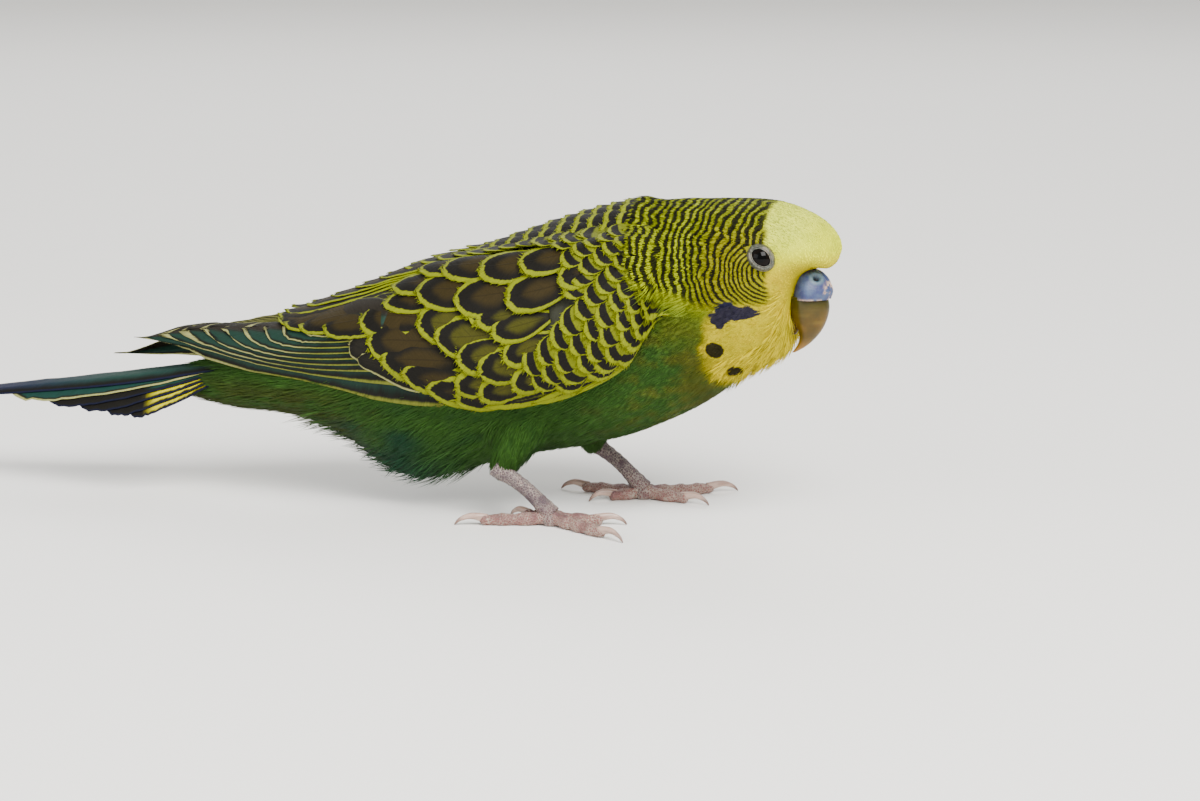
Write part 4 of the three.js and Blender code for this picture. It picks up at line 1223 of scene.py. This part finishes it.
# Each covert's tip on the wing's chart, as s and q, then its lean, length and width
GREATER_COVERTS = [
    (-17.0, 0.035, 0.16, 15, 6.4), (-22.5, 0.05, 0.18, 15, 6.4), (-27.0, 0.085, 0.16, 15, 6.6),
    (-31.4, 0.15, 0.14, 15, 7.0), (-34.4, 0.265, 0.08, 15, 8.4), (-36.6, 0.44, 0.0, 15, 8.8),
    (-32.0, 0.56, 0.0, 12, 6.0)]
MEDIAN_COVERTS = [
    (-12.0, 0.08, 0.3, 11, 6.4), (-16.2, 0.1, 0.28, 11, 6.0), (-24.0, 0.41, 0.08, 12, 7.6),
    (-20.4, 0.33, 0.16, 12, 7.4), (-16.0, 0.255, 0.2, 12, 7.0), (-11.8, 0.20, 0.2, 12, 7.6),
    (-14.4, 0.46, 0.2, 9, 5.0), (-12.4, 0.44, 0.2, 10, 5.4), (-9.6, 0.385, 0.24, 11, 6.4),
    (-7.4, 0.27, 0.3, 10, 6.4), (-6.0, 0.13, 0.3, 10, 6.6)]
SCAPULARS = [
    (-31.5, 0.7, 0.0, 15, 6.4), (-26.5, 0.82, 0.0, 14, 7.0), (-25.5, 0.62, 0.0, 14, 8.6),
    (-17.0, 0.56, 0.12, 14, 8.8), (-7.2, 0.56, 0.2, 13, 8.4), (-21.5, 0.77, 0.04, 14, 8.4),
    (-13.6, 0.73, 0.1, 13, 8.0), (-5.2, 0.73, 0.25, 12, 7.6), (2.6, 0.63, 0.35, 11, 6.8)]
TERTIALS = [
    (-44.0, 0.46), (-49.0, 0.55), (-53.0, 0.63), (-55.5, 0.72), (-56.0, 0.81), (-55.0, 0.89), (-51.0, 0.94),
    (-46.0, 0.96), (-41.0, 0.96), (-36.0, 0.96)]
PRIMARIES, PRIMARY_STEP, SHEET = 9, 4.2, 0.32
# Tip, root and width of the two pale coverts under the primaries' edge, then start and width along the hem
PRIMARY_COVERTS = [((-36.0, 0.12), (-24.0, 0.04), 4.2), ((-38.2, 0.24), (-26.0, 0.1), 5.4)]
HEM_FEATHERS = [(-20.5, 4.4), (-11.5, 4.4), (-2.5, 3.4), (6.0, 1.6)]

# The small coverts' rows slant over the wing: row_slope is millimetres along for a whole step of q
FRONT_ROOTS, FRONT_SINK_START, FRONT_SINK = 24.6, 20.0, 0.65
ROW_STARTS, ROW_APART, CHART_SPAN = np.arange(37.5, -4.0, -3.0), 0.112, 32
row_slope = profile([(0, 44), (0.08, 34), (0.16, 12), (0.36, 12), (0.5, 20), (0.65, 25), (0.85, 22),
                     (1.0, 12)])
row_q = np.linspace(0, 1, 101)
row_slant = np.cumsum(row_slope(row_q)) * 0.01
small_rear = profile([(0, -3.5), (0.15, -3.5), (0.25, -3.0), (0.33, -1.0), (0.42, 0.5), (0.5, 3.0),
                      (0.62, 4.0), (0.72, 2.5), (0.82, -3.0), (0.92, -6.0), (1.0, -6.0)])


def row_shift(q):
    return np.interp(q, row_q, row_slant) - np.interp(0.1, row_q, row_slant)


def columns_of(*values):
    """Three numbers a point, from arrays and single numbers."""
    return np.stack(np.broadcast_arrays(*values), -1)


def flight_colour(lower, v):
    return blend_in(FLIGHT_DARK, FLIGHT_TEAL, smooth(lower, -0.4, 0.8))


def flight_edge(lower, v):
    return blend_in(FLIGHT_EDGE, RIM * 0.8, 0.8 * smooth(0.8 - v, 0, 0.3))


def flight_marks(lower, v, length):
    rim = np.where(lower > 0, 0.2 + 0.1 * smooth(v, 0.5, 0.9), 0.05 + 0.2 * smooth(v, 0.93, 0.98))
    return columns_of(rim, 0.12, 0.8)


def tertial_marks(lower, v, length):
    return columns_of(np.where(lower > 0, 0.62, 0.25 + 0.35 * smooth(v, 0.85, 0.97)), 0.7, 1.4)


def covert_marks(rim, band, soft):
    return lambda lower, v, length: columns_of(
        rim * (1 - 0.35 * smooth(0.8 - v, 0, 0.4)), band * (0.25 + 0.75 * smooth(v, 0.5, 0.92)), soft)


class Wing(Plumes):
    """The folded right wing, tier after tier from the tip forwards."""

    def __init__(self, seed):
        super().__init__(seed)
        self.flights()
        for s, q, lean, long, width in GREATER_COVERTS:
            self.covert(s, q, lean, long, width, 0.95, 1.6, OLIVE_BROWN, 1.6, rows=22, columns=15, fringe=46)
        for tip, root, width in PRIMARY_COVERTS:
            self.add(wing_point, root, tip, width, LONG, sunk(0.9), (SOOT * 2, FLIGHT_EDGE), (0.26, 0.4, 1.0),
                     rows=20, columns=11, span=float(wing_span(-32, 0.15)), sweep=-0.06)
        for s, wide in HEM_FEATHERS:
            self.add(wing_point, (s + 15, 0.06), (s, 0.012), wide, POINTED, sunk(0.9, top=-0.15),
                     (RIM * 0.6, RIM), (1.3, 0.5, 0.6), rows=20, columns=11,
                     span=float(wing_span(max(s, -18), 0.1)), fringe=14)
        yellower = mix(OLIVE_BROWN, RIM * 0.5, 0.3)
        for s, q, lean, long, width in MEDIAN_COVERTS:
            self.covert(s, q, lean, long, width, 0.95, 1.7, yellower, 1.4, rows=18, rise=0.05, fringe=40)
        for s, q, lean, long, width in SCAPULARS:
            self.covert(s, q, lean, long, width, 0.95, 2.0, OLIVE_BROWN, 2.0, rows=22, columns=15, rise=0.25,
                        fringe=46)
        for s in np.arange(4.0, -32.0, -3.2):
            core = mix(RIM * 0.6, OLIVE_BROWN, float(smooth(-s, 2, 12)))
            self.covert(s, 0.955, 0.12, 8.5, 5.8, 0.7, 1.9, core, 0.8, tilt=0.1, rise=0.2, fringe=20,
                        crescent=s > -12)
        self.small_coverts()

    def jitter(self, size):
        return self.draw.uniform(-size, size)

    def flights(self):
        for k in range(PRIMARIES):
            t = k / (PRIMARIES - 1)
            tip = (mix(WING_TIP, -49.0, t ** 0.95), mix(0.46, 0.6, t ** 0.8))
            root = (mix(-20, -31, t), mix(0.16, 0.45, t))
            below = PRIMARIES - 1 - k

            def sheet(v, below=below, long=root[0] - tip[0]):
                return -0.3 - SHEET * np.minimum(below, (1 - v) * long / PRIMARY_STEP)

            self.add(wing_point, root, tip, mix(9.0, 10.0, t), LONG, sheet, (flight_colour, flight_edge),
                     flight_marks, rows=34, columns=15, span=float(wing_span(tip[0] + 10, tip[1])), tilt=0.12,
                     crown=0.15)
        for s, q in TERTIALS:
            self.add(wing_point, (s + 24, q - 0.1 * (q - 0.4)), (s + self.jitter(0.4), q), 8.2, LONG,
                     sunk(1.4, 0.6, 0.1), (OLIVE_BROWN, RIM), tertial_marks, rows=28, columns=15,
                     span=float(wing_span(s + 6, q)), tilt=0.25, crown=0.2, fringe=16)

    def covert(self, s, q, lean, long, width, rim, band, core, soft, rise=0.0, deep=1.3, tilt=0.2,
               ragged=0.07, **others):
        """A rounded feather: its tip, lean and size, then its rim, its band of soot and the colour inside."""
        s, q = s + self.jitter(0.3), q + self.jitter(0.006)
        span = float(wing_span(s, min(max(q, 0.05), 0.95)))
        root_s, root_q = s + long * math.cos(lean), q + long * math.sin(lean) / span
        if root_s > FRONT_ROOTS:
            cut = max(FRONT_ROOTS - s, 2.2) / (root_s - s)
            root_s, root_q = mix(s, root_s, cut), mix(q, root_q, cut)
        deep = deep + FRONT_SINK * max(root_s - FRONT_SINK_START, 0)
        self.add(wing_point, (root_s, min(root_q, 1.05)), (s, q), width * (1 + self.jitter(0.05)), ROUND,
                 sunk(deep, top=rise), (core, RIM), covert_marks(rim, band, soft), span=span, tilt=tilt,
                 sweep=self.jitter(0.03), ragged=ragged, **others)

    def small_coverts(self):
        """Slanted rows from the rear forwards, up to where the nape's cape lies over them."""
        for r, start in enumerate(ROW_STARTS):
            for q in np.arange(0.05 + (0.055 if r % 2 else 0.0), 0.98, ROW_APART):
                s = start - float(row_shift(q)) + self.jitter(0.3)
                edge = float(cape_edge(wing_height(s, q))) + (-1.0 if q < 0.4 else 2.0)
                if float(small_rear(q)) < s < edge:
                    lean = math.atan(float(row_slope(q)) / CHART_SPAN)
                    long = mix(7.4, 6.0, float(smooth(s, 4, 20)))
                    width = mix(6.0, 5.2, float(smooth(q, 0.3, 0.6)))
                    self.covert(s, q, lean, long, width, 0.74, 2.2, RIM * 0.7, 0.4, deep=1.2, tilt=0.14,
                                ragged=0.06, rise=0.1, fringe=22, crescent=True)


def wing_bed(side):
    """The wing's own flesh under its feathers, a dark sheet that shows as shade between them."""
    for s in np.linspace(-50, WING_FRONT - 0.6, 40):
        q = np.linspace(0.03 + 0.14 * float(smooth(-s, 18, 47)), 1, 22)
        under = mix(3.4, 1.9, float(smooth(s, -50, -30)))
        deep = mix(1.2, 4.5, float(smooth(s, -58, -25)))
        outer, inner = (wing_point(np.full_like(q, s), q, np.full_like(q, -d)) for d in (under, under + deep))
        yield np.concatenate([outer, inner[::-1]]) * (1, side, 1)


def left_shape(co):
    """The right wing's points on the left, where the tip hangs lower and reaches further back."""
    share = smooth(-co[:, 0], -DROP_START, -WING_TIP)
    return co * (1, -1, 1) + np.stack([-LEFT_TIP_REACH * share, 0 * share, -LEFT_TIP_DROP * share], -1)


vane_look, bed_shade_look = vane_material("Wing vane"), shade_bed_material()
for name, side, seed, shape in (("right", 1, 31, None), ("left", -1, 32, left_shape)):
    Wing(seed).piece("feathers_wing_" + name, "wing_plumage", vane_look, ("wing_" + name,), shape)
    # A dark sheet under the feathers, as painted shade in the gaps between them.
    shade_bed = finish_mesh("shade_bed_wing_" + name, loft(list(wing_bed(side))))
    new_piece("shade_bed_wing_" + name, shade_bed, "wing_plumage", bed_shade_look)

# Mantle: small barred feathers on the back between the wings
MANTLE_ROWS, MANTLE_FRONT, MANTLE_STEP, MANTLE_APART = 18, 17.5, 2.9, 3.3
mantle = Plumes(33)
for r in range(MANTLE_ROWS):
    s = MANTLE_FRONT - r * MANTLE_STEP
    reach = float(wing_ridge(s)) + 2.0
    count = max(1, int(round(2 * reach / MANTLE_APART)))
    core = mix(RIM * 0.75, OLIVE_BROWN, float(smooth(-s, -4, 14)))
    long, width = mix(6.4, 9.5, float(smooth(-s, -10, 14))), mix(5.2, 6.6, float(smooth(-s, -8, 14)))
    for k in range(count + 1):
        out = mix(-reach, reach, k / count) + (MANTLE_APART / 2 if r % 2 else 0)
        if abs(out) <= reach + 1:
            root = (s + 0.4 * mantle.draw.uniform(-1, 1), out)
            mantle.add(mantle_point, root, (s - long, out * 1.02), width, ROUND, sunk(1.2, top=0.35),
                       (core, RIM), (0.8, 1.9, 0.6), columns=11, crown=0.3, ragged=0.07, fringe=22,
                       crescent=True)
mantle.piece("feathers_mantle", "nape_plumage", vane_look)

# Tail: a slightly arched fan, the middle pair on top and by far the longest
TAIL_ROOT, TAIL_SHEET, BANDED_FROM = -66.0, 0.42, 3
# Each pair's tip, width, spread and outline
TAIL_PAIRS = [(-150, 8.0, 1.2, POINTED), (-112, 9.0, 2.6, LONG), (-104, 9.0, 4.0, LONG),
              (-97, 8.6, 5.4, LONG), (-91, 8.0, 6.6, LONG), (-86, 7.0, 7.6, LONG)]


def tail_point(s, y, h):
    """The tail's chart, arched, with the outer feathers drooping at the sides of the fan."""
    droop = TAIL_CAMBER * y * y + 0.45 * np.maximum(np.abs(y) - 3.5, 0) ** 1.25
    return np.stack(np.broadcast_arrays(s, y, tail_top(s) - droop + h), -1)


def middle_tail_colour(lower, v):
    return blend_in(TAIL_TEAL, TAIL_BLUE, smooth(v, 0.25, 0.6))


def side_tail_colour(number, long):
    """Teal at the root, then yellow in the outer pairs, then soot."""
    gold = 1.0 if number >= BANDED_FROM else 0.0
    return lambda lower, v: blend_in(blend_in(TAIL_TEAL, TAIL_YELLOW, gold * smooth(v * long, 1, 3)),
                                     SOOT, smooth(v * long, 14, 17) * min(1, number - 1))


tail = Plumes(34)
for i, (tip, width, spread, outline) in reversed(list(enumerate(TAIL_PAIRS))):
    if i == 0:
        colours, marks = (middle_tail_colour, TAIL_BLUE * 0.6), (0.25, 0.1, 1.5)
    else:
        edge = TAIL_BLUE * 0.5 if i > 1 else FLIGHT_EDGE
        colours, marks = (side_tail_colour(i, TAIL_ROOT - tip), edge), (0.2, 0.05, 0.4)
    for side in (-1, 1):
        lift = -TAIL_SHEET * i - (0.2 if side > 0 else 0) - 0.35
        tail.add(tail_point, (TAIL_ROOT, side * 1.6), (tip, side * spread), width, outline,
                 lambda v: 0 * v + lift, colours, marks, rows=34, columns=11, crown=0.1, thick=0.2, tilt=0.0)
tail.piece("feathers_tail", "tail_plumage", vane_material("Tail vane"), ("tail",))

# Head: bill, cere, eyes and lids

BILL_S, BILL_Z, BILL_HALF = 50.1, 43.2, 3.4
# Each level slice of bill and cere: how far down it is, its rear edge, its ridge, its share of the half width
BILL_SLICES = [(-0.6, -7.2, 0.3, 1.1), (1.4, -7.0, 0.7, 1.1), (3.6, -6.4, 0.3, 0.96), (5.6, -5.2, -0.6, 0.7),
               (7.4, -4.9, -2.0, 0.46), (9.0, -5.5, -3.8, 0.24), (10.2, -6.4, -5.8, 0.07)]
LOWER_SLICES = [(1.6, -10.4, -5.0, 0.8), (3.6, -10.0, -4.5, 0.78), (5.4, -9.4, -4.8, 0.66),
                (6.8, -8.4, -5.4, 0.42)]
CERE_SLICES = [(-5.5, -4.0, -1.9, 0.36), (-4.6, -4.8, -0.5, 0.78), (-3.2, -5.4, 0.7, 1.08),
               (-1.6, -5.8, 1.3, 1.24), (-0.1, -6.0, 0.9, 1.2)]
NOSTRIL_OUT, NOSTRIL_UP, NOSTRIL_RADIUS, NOSTRIL_DEEP = 1.9, 4.2, 0.85, 1.3
GROOVE_HALF, GROOVE_DEEP = 0.35, 0.3


def slice_rings(slices, sides, steps, swell=0.0):
    """Level slices, each from its rear edge to its ridge, with rounder ones between the named ones."""
    fit = [profile([(x[0], x[i]) for x in slices]) for i in (1, 2, 3)]
    a = np.linspace(0, 2 * math.pi, sides, endpoint=False)
    rounded = np.sin(a) * (1 - 0.28 * np.maximum(0, np.cos(a)))
    for down in np.linspace(slices[0][0], slices[-1][0], steps):
        rear, ridge, wide = (float(f(down)) for f in fit)
        half = (ridge - rear) / 2 + swell
        yield place(BILL_S + (rear + ridge) / 2 + half * np.cos(a), (BILL_HALF * wide + swell) * rounded,
                    BILL_Z - down)


horn = bill_material()
for name, rings in (("bill_upper", slice_rings(BILL_SLICES, 40, 34)),
                    ("bill_lower", slice_rings(LOWER_SLICES, 36, 16, -0.25))):
    new_piece(name + "_fine", finish_mesh(name + "_fine", loft(list(rings))), "bill_horn", horn, (name,))


def build_cere():
    """The cere with its two nostrils, the groove between them, where its crust lies, and where the painted
    shade in the nostrils lies.
    """
    mesh = finish_mesh("cere_fine", loft(list(slice_rings(CERE_SLICES, 64, 30))))
    points = points_of(mesh)
    centre = place(BILL_S - 2.5, 0.0, BILL_Z + 2.0)
    nostril, near = np.zeros(len(points)), np.zeros(len(points))
    for side in (1, -1):
        d = np.linalg.norm(points - place(BILL_S - 1.0, side * NOSTRIL_OUT, BILL_Z + NOSTRIL_UP), axis=1)
        ring = 0.12 * np.exp(-((d - 1.2) / 0.5) ** 2)
        points = points + unit(points - centre) * (
            ring - NOSTRIL_DEEP * smooth(NOSTRIL_RADIUS - d, 0, 0.4))[:, None]
        # Painted shade inside each nostril's opening.
        nostril = np.maximum(nostril, smooth(0.75 - d, 0, 0.25))
        near = np.maximum(near, smooth(2.2 - d, 0, 1.4))
    s, out, z = unplace(points)
    groove = GROOVE_DEEP * np.exp(-(out / GROOVE_HALF) ** 2) * smooth(s, BILL_S - 2, BILL_S)
    points = points - unit(points - centre) * groove[:, None]
    mesh.vertices.foreach_set("co", metres(points).ravel())
    paint(mesh, "nostril", nostril)
    paint(mesh, "near_nostril", near)
    border = smooth(z, BILL_Z + 0.55, BILL_Z + 0.15) * 0.7
    paint(mesh, "crust", np.maximum(smooth(s, BILL_S + 0.1, BILL_S + 1.0), border))
    mesh.update()
    return mesh


new_piece("cere_fine", build_cere(), "cere_skin", cere_material(), ("cere",))

IRIS_RADIUS, LID_SLANT, LID_BEADS, LID_STEPS = 1.75, 1.4, 38, 72
# The lid's closed section: how far past the opening, and how high over the eyeball's edge
LID_SECTION = [(0.0, -0.35), (0.02, 0.05), (0.1, 0.16), (0.2, 0.13), (0.28, 0.0), (0.36, 0.1), (0.5, 0.1),
               (0.64, -0.04), (0.76, -0.4), (1.1, -1.5), (0.6, -2.2), (0.1, -2.0)]
BEADED = (3, 6)


def eye_opening(angle, side):
    """How far the lids' slanted oval opening is from its middle."""
    return 1.5 + 0.27 * np.cos(2 * angle + LID_SLANT * side) + 0.05 * np.cos(4 * angle + 2 * LID_SLANT * side)


def eyeball(name, centre, out):
    bm = bmesh.new()
    bmesh.ops.create_uvsphere(bm, u_segments=48, v_segments=32, radius=EYE_RADIUS / 1000)
    turn = Vector((0, 0, 1)).rotation_difference(Vector(out)).to_matrix().to_4x4()
    seat = Matrix.Translation(metres(centre + out * EYE_SEAT))
    bmesh.ops.transform(bm, matrix=seat @ turn, verts=bm.verts)
    ball = finish_mesh(name, bm)
    paint(ball, "off_axis", off_line(points_of(ball), centre, out)[1] / IRIS_RADIUS)
    return ball


def lids(name, centre, out, side):
    """The bare ring: its section carried round the opening and joined to itself."""
    first = unit(np.cross(out, (0, 0, 1.0)))
    second = np.cross(out, first)
    angle = np.linspace(0, 2 * math.pi, LID_STEPS, endpoint=False)
    opening = eye_opening(angle, side)
    seat = EYE_SEAT + np.sqrt(EYE_RADIUS ** 2 - opening ** 2)
    rows = []
    for i, (past, high) in enumerate(LID_SECTION):
        r = opening + past
        lift = seat + high + 0.04 * np.cos(angle * LID_BEADS) * (1 if i in BEADED else 0)
        rows.append(centre + first * (r * np.cos(angle))[:, None] + second * (r * np.sin(angle))[:, None]
                    + out * lift[:, None])
    bm = loft(rows, close=False)
    bmesh.ops.bridge_loops(bm, edges=[e for e in bm.edges if e.is_boundary])
    bmesh.ops.recalc_face_normals(bm, faces=bm.faces)
    mesh = finish_mesh(name, bm)
    points = points_of(mesh)
    turned = np.arctan2((points - centre) @ second, (points - centre) @ first)
    past = off_line(points, centre, out)[1] - eye_opening(turned, side)
    # Painted shade along the groove between the two rows of beads.
    crease_shade = 0.75 * smooth(0.1 - np.abs(past - 0.28), 0, 0.08)
    paint(mesh, "rim", np.maximum(smooth(0.1 - past, 0, 0.08), crease_shade))
    return mesh


eye_look, lid_look = eye_material(), lid_material()
for name, side in (("right", 1), ("left", -1)):
    centre, out = eye_place(side)
    new_piece("eyeball_" + name, eyeball("eyeball_" + name, centre, out), "eye", eye_look, ("eye_" + name,))
    new_piece("lids_" + name, lids("lids_" + name, centre, out, side), "face_plumage", lid_look)

# Legs and feet

TOE_RADIUS, TOE_FLAT, FOOT_JOINT = 1.25, 0.25, 2.5
PAD_RADIUS, PAD_FLATNESS, LEG_SIDES, CLAW_SIDES = 0.0021, 0.75, 28, 16
# Each toe's name, its direction in degrees from straight ahead, its length, its claw's length
TOES = [("1", 150, 7.0, 4.0), ("2", 14, 9.5, 4.4), ("3", -34, 14.5, 5.0), ("4", 194, 13.5, 4.6)]
leg_look = scaly_material("Leg scales", dye("54444a"), dye("948880"), dye("74504e"))
toe_look = scaly_material("Toe scales", dye("664c4e"), dye("a09084"), dye("8a5c54"))
claw_look = claw_material()


def flat_soled(rings):
    """No ring goes below the floor: the sole is flat there."""
    return np.maximum(rings, (-np.inf, -np.inf, 0.0))


def scaled_tube(path, radius, scute_height, scutes, nubs, nubs_round):
    """A leg or toe: scutes across its upper side and small nubs all round."""
    t = np.linspace(0, 1, len(path))[:, None]
    turn = np.linspace(0, 2 * math.pi, LEG_SIDES, endpoint=False)
    upper = scute_height * np.abs(np.sin(t * scutes)) * np.maximum(0, np.sin(turn)) ** 0.5
    rough = upper + 0.05 * np.sin(t * nubs) * np.cos(turn * nubs_round)
    return loft(flat_soled(tube_rings(path, radius(t, rough), LEG_SIDES)))


def build_leg(name, foot, leg):
    """The bare shank, with the pad that the toes grow from."""
    ankle = np.array(leg["ankle"]) * (1, leg["side"], 1) + (0, 0, 1.4)
    joint = foot + (0, 0, FOOT_JOINT - 0.6)
    path = curve_through([ankle, (ankle + joint) / 2 + (0.4, 0, 0.5), joint], 46)
    bm = scaled_tube(path, lambda t, rough: 1.35 + 0.4 * np.cos(math.pi * t) ** 4 + rough, 0.07, 24, 60, 7)
    pad = bmesh.ops.create_uvsphere(bm, u_segments=28, v_segments=18, radius=PAD_RADIUS)["verts"]
    middle = Matrix.Translation(metres(foot + (0, 0, TOE_RADIUS - TOE_FLAT + 0.25)))
    bmesh.ops.transform(bm, matrix=middle @ Matrix.Diagonal((1, 1, PAD_FLATNESS, 1)), verts=pad)
    for v in pad:
        v.co.z = max(v.co.z, 0.0)
    new_piece("leg_" + name, finish_mesh("leg_" + name, bm), "leg_skin", leg_look, ("shank_" + name,))


def build_toe(number, name, foot, along, long, claw):
    """One toe with the swellings of its pads, and its claw."""
    low = TOE_RADIUS - TOE_FLAT

    def at(far, z):
        return foot + along * far + (0, 0, z)

    def radius(t, rough):
        rounded = np.sqrt(np.maximum(0.03, 1 - np.clip((t - 0.88) / 0.12, 0, 1) ** 2))
        swell = 0.1 * np.cos(2 * math.pi * round(long / 4) * t)
        return (TOE_RADIUS * (1.0 - 0.2 * t + swell) + rough) * rounded

    path = curve_through([at(0.6, low + 0.5), at(long * 0.4, low + 0.1), at(long, low)], int(long * 3.4))
    bm = scaled_tube(path, radius, 0.08, long * 1.9, long * 4.6, 6)
    toe = f"toe_{number}_{name}"
    new_piece(toe + "_fine", finish_mesh(toe, bm), "leg_skin", toe_look, (toe,))
    path = curve_through([at(long - 1.4, low + 0.3), at(long + claw * 0.35, low + 0.75),
                          at(long + claw * 0.8, low + 0.05), at(long + claw, 0.14)], 22)
    thick = 0.78 * (1 - np.linspace(0, 1, len(path))) ** 0.7 + 0.1
    tip = f"claw_{number}_{name}"
    mesh = finish_mesh(tip, loft(flat_soled(tube_rings(path, thick, CLAW_SIDES, wide=0.8))))
    paint(mesh, "along", np.clip(((points_of(mesh) - foot) @ along - long) / claw, 0, 1))
    new_piece(tip + "_fine", mesh, "claw_horn", claw_look, (tip,))


for name, leg in LEGS.items():
    foot = np.array([leg["joint"][0], leg["side"] * leg["joint"][1], 0.0])
    build_leg(name, foot, leg)
    for number, degrees, long, claw in TOES:
        a = math.radians(degrees)
        build_toe(number, name, foot, np.array([math.cos(a), -leg["side"] * math.sin(a), 0.0]), long, claw)

# Floor, light and camera

bm = bmesh.new()
bmesh.ops.create_grid(bm, x_segments=2, y_segments=2, size=4.0)
floor = shown("floor", finish_mesh("floor", bm))
floor.data.materials.append(floor_material())

world = bpy.data.worlds.new("Studio")
bpy.context.scene.world = world
world.use_nodes = True
world.node_tree.nodes["Background"].inputs["Color"].default_value = (0.84, 0.83, 0.80, 1)
world.node_tree.nodes["Background"].inputs["Strength"].default_value = 1.0
LIT_POINT = Vector((0.0, 0.0, 0.03))


def soft_light(name, where, size, power, colour):
    light = bpy.data.lights.new(name, "AREA")
    light.shape = "RECTANGLE"
    light.size, light.size_y = size
    light.energy = power
    light.color = colour
    lamp = shown(name, light)
    lamp.location = where
    lamp.rotation_euler = (LIT_POINT - Vector(where)).to_track_quat("-Z", "Y").to_euler()


soft_light("key", (0.45, -0.55, 0.75), (0.6, 0.6), 23.0, (1.0, 0.98, 0.95))
soft_light("fill", (-0.7, -0.8, 0.45), (0.9, 0.7), 6.0, (0.95, 0.97, 1.0))
soft_light("back", (-0.2, 0.9, 0.7), (0.9, 0.5), 5.0, (1, 1, 1))

VIEW_FROM = (154.52, -595.94, 140.78)
VIEW_TURN, VIEW_RISE = math.radians(14), math.radians(11)
camera = shown("camera", bpy.data.cameras.new("camera"))
camera.data.lens = 100
camera.data.sensor_width = 36
camera.data.clip_start = 0.01
camera.location = metres(VIEW_FROM)
camera.rotation_euler = (math.pi / 2 - VIEW_RISE, 0, VIEW_TURN)
bpy.context.scene.camera = camera
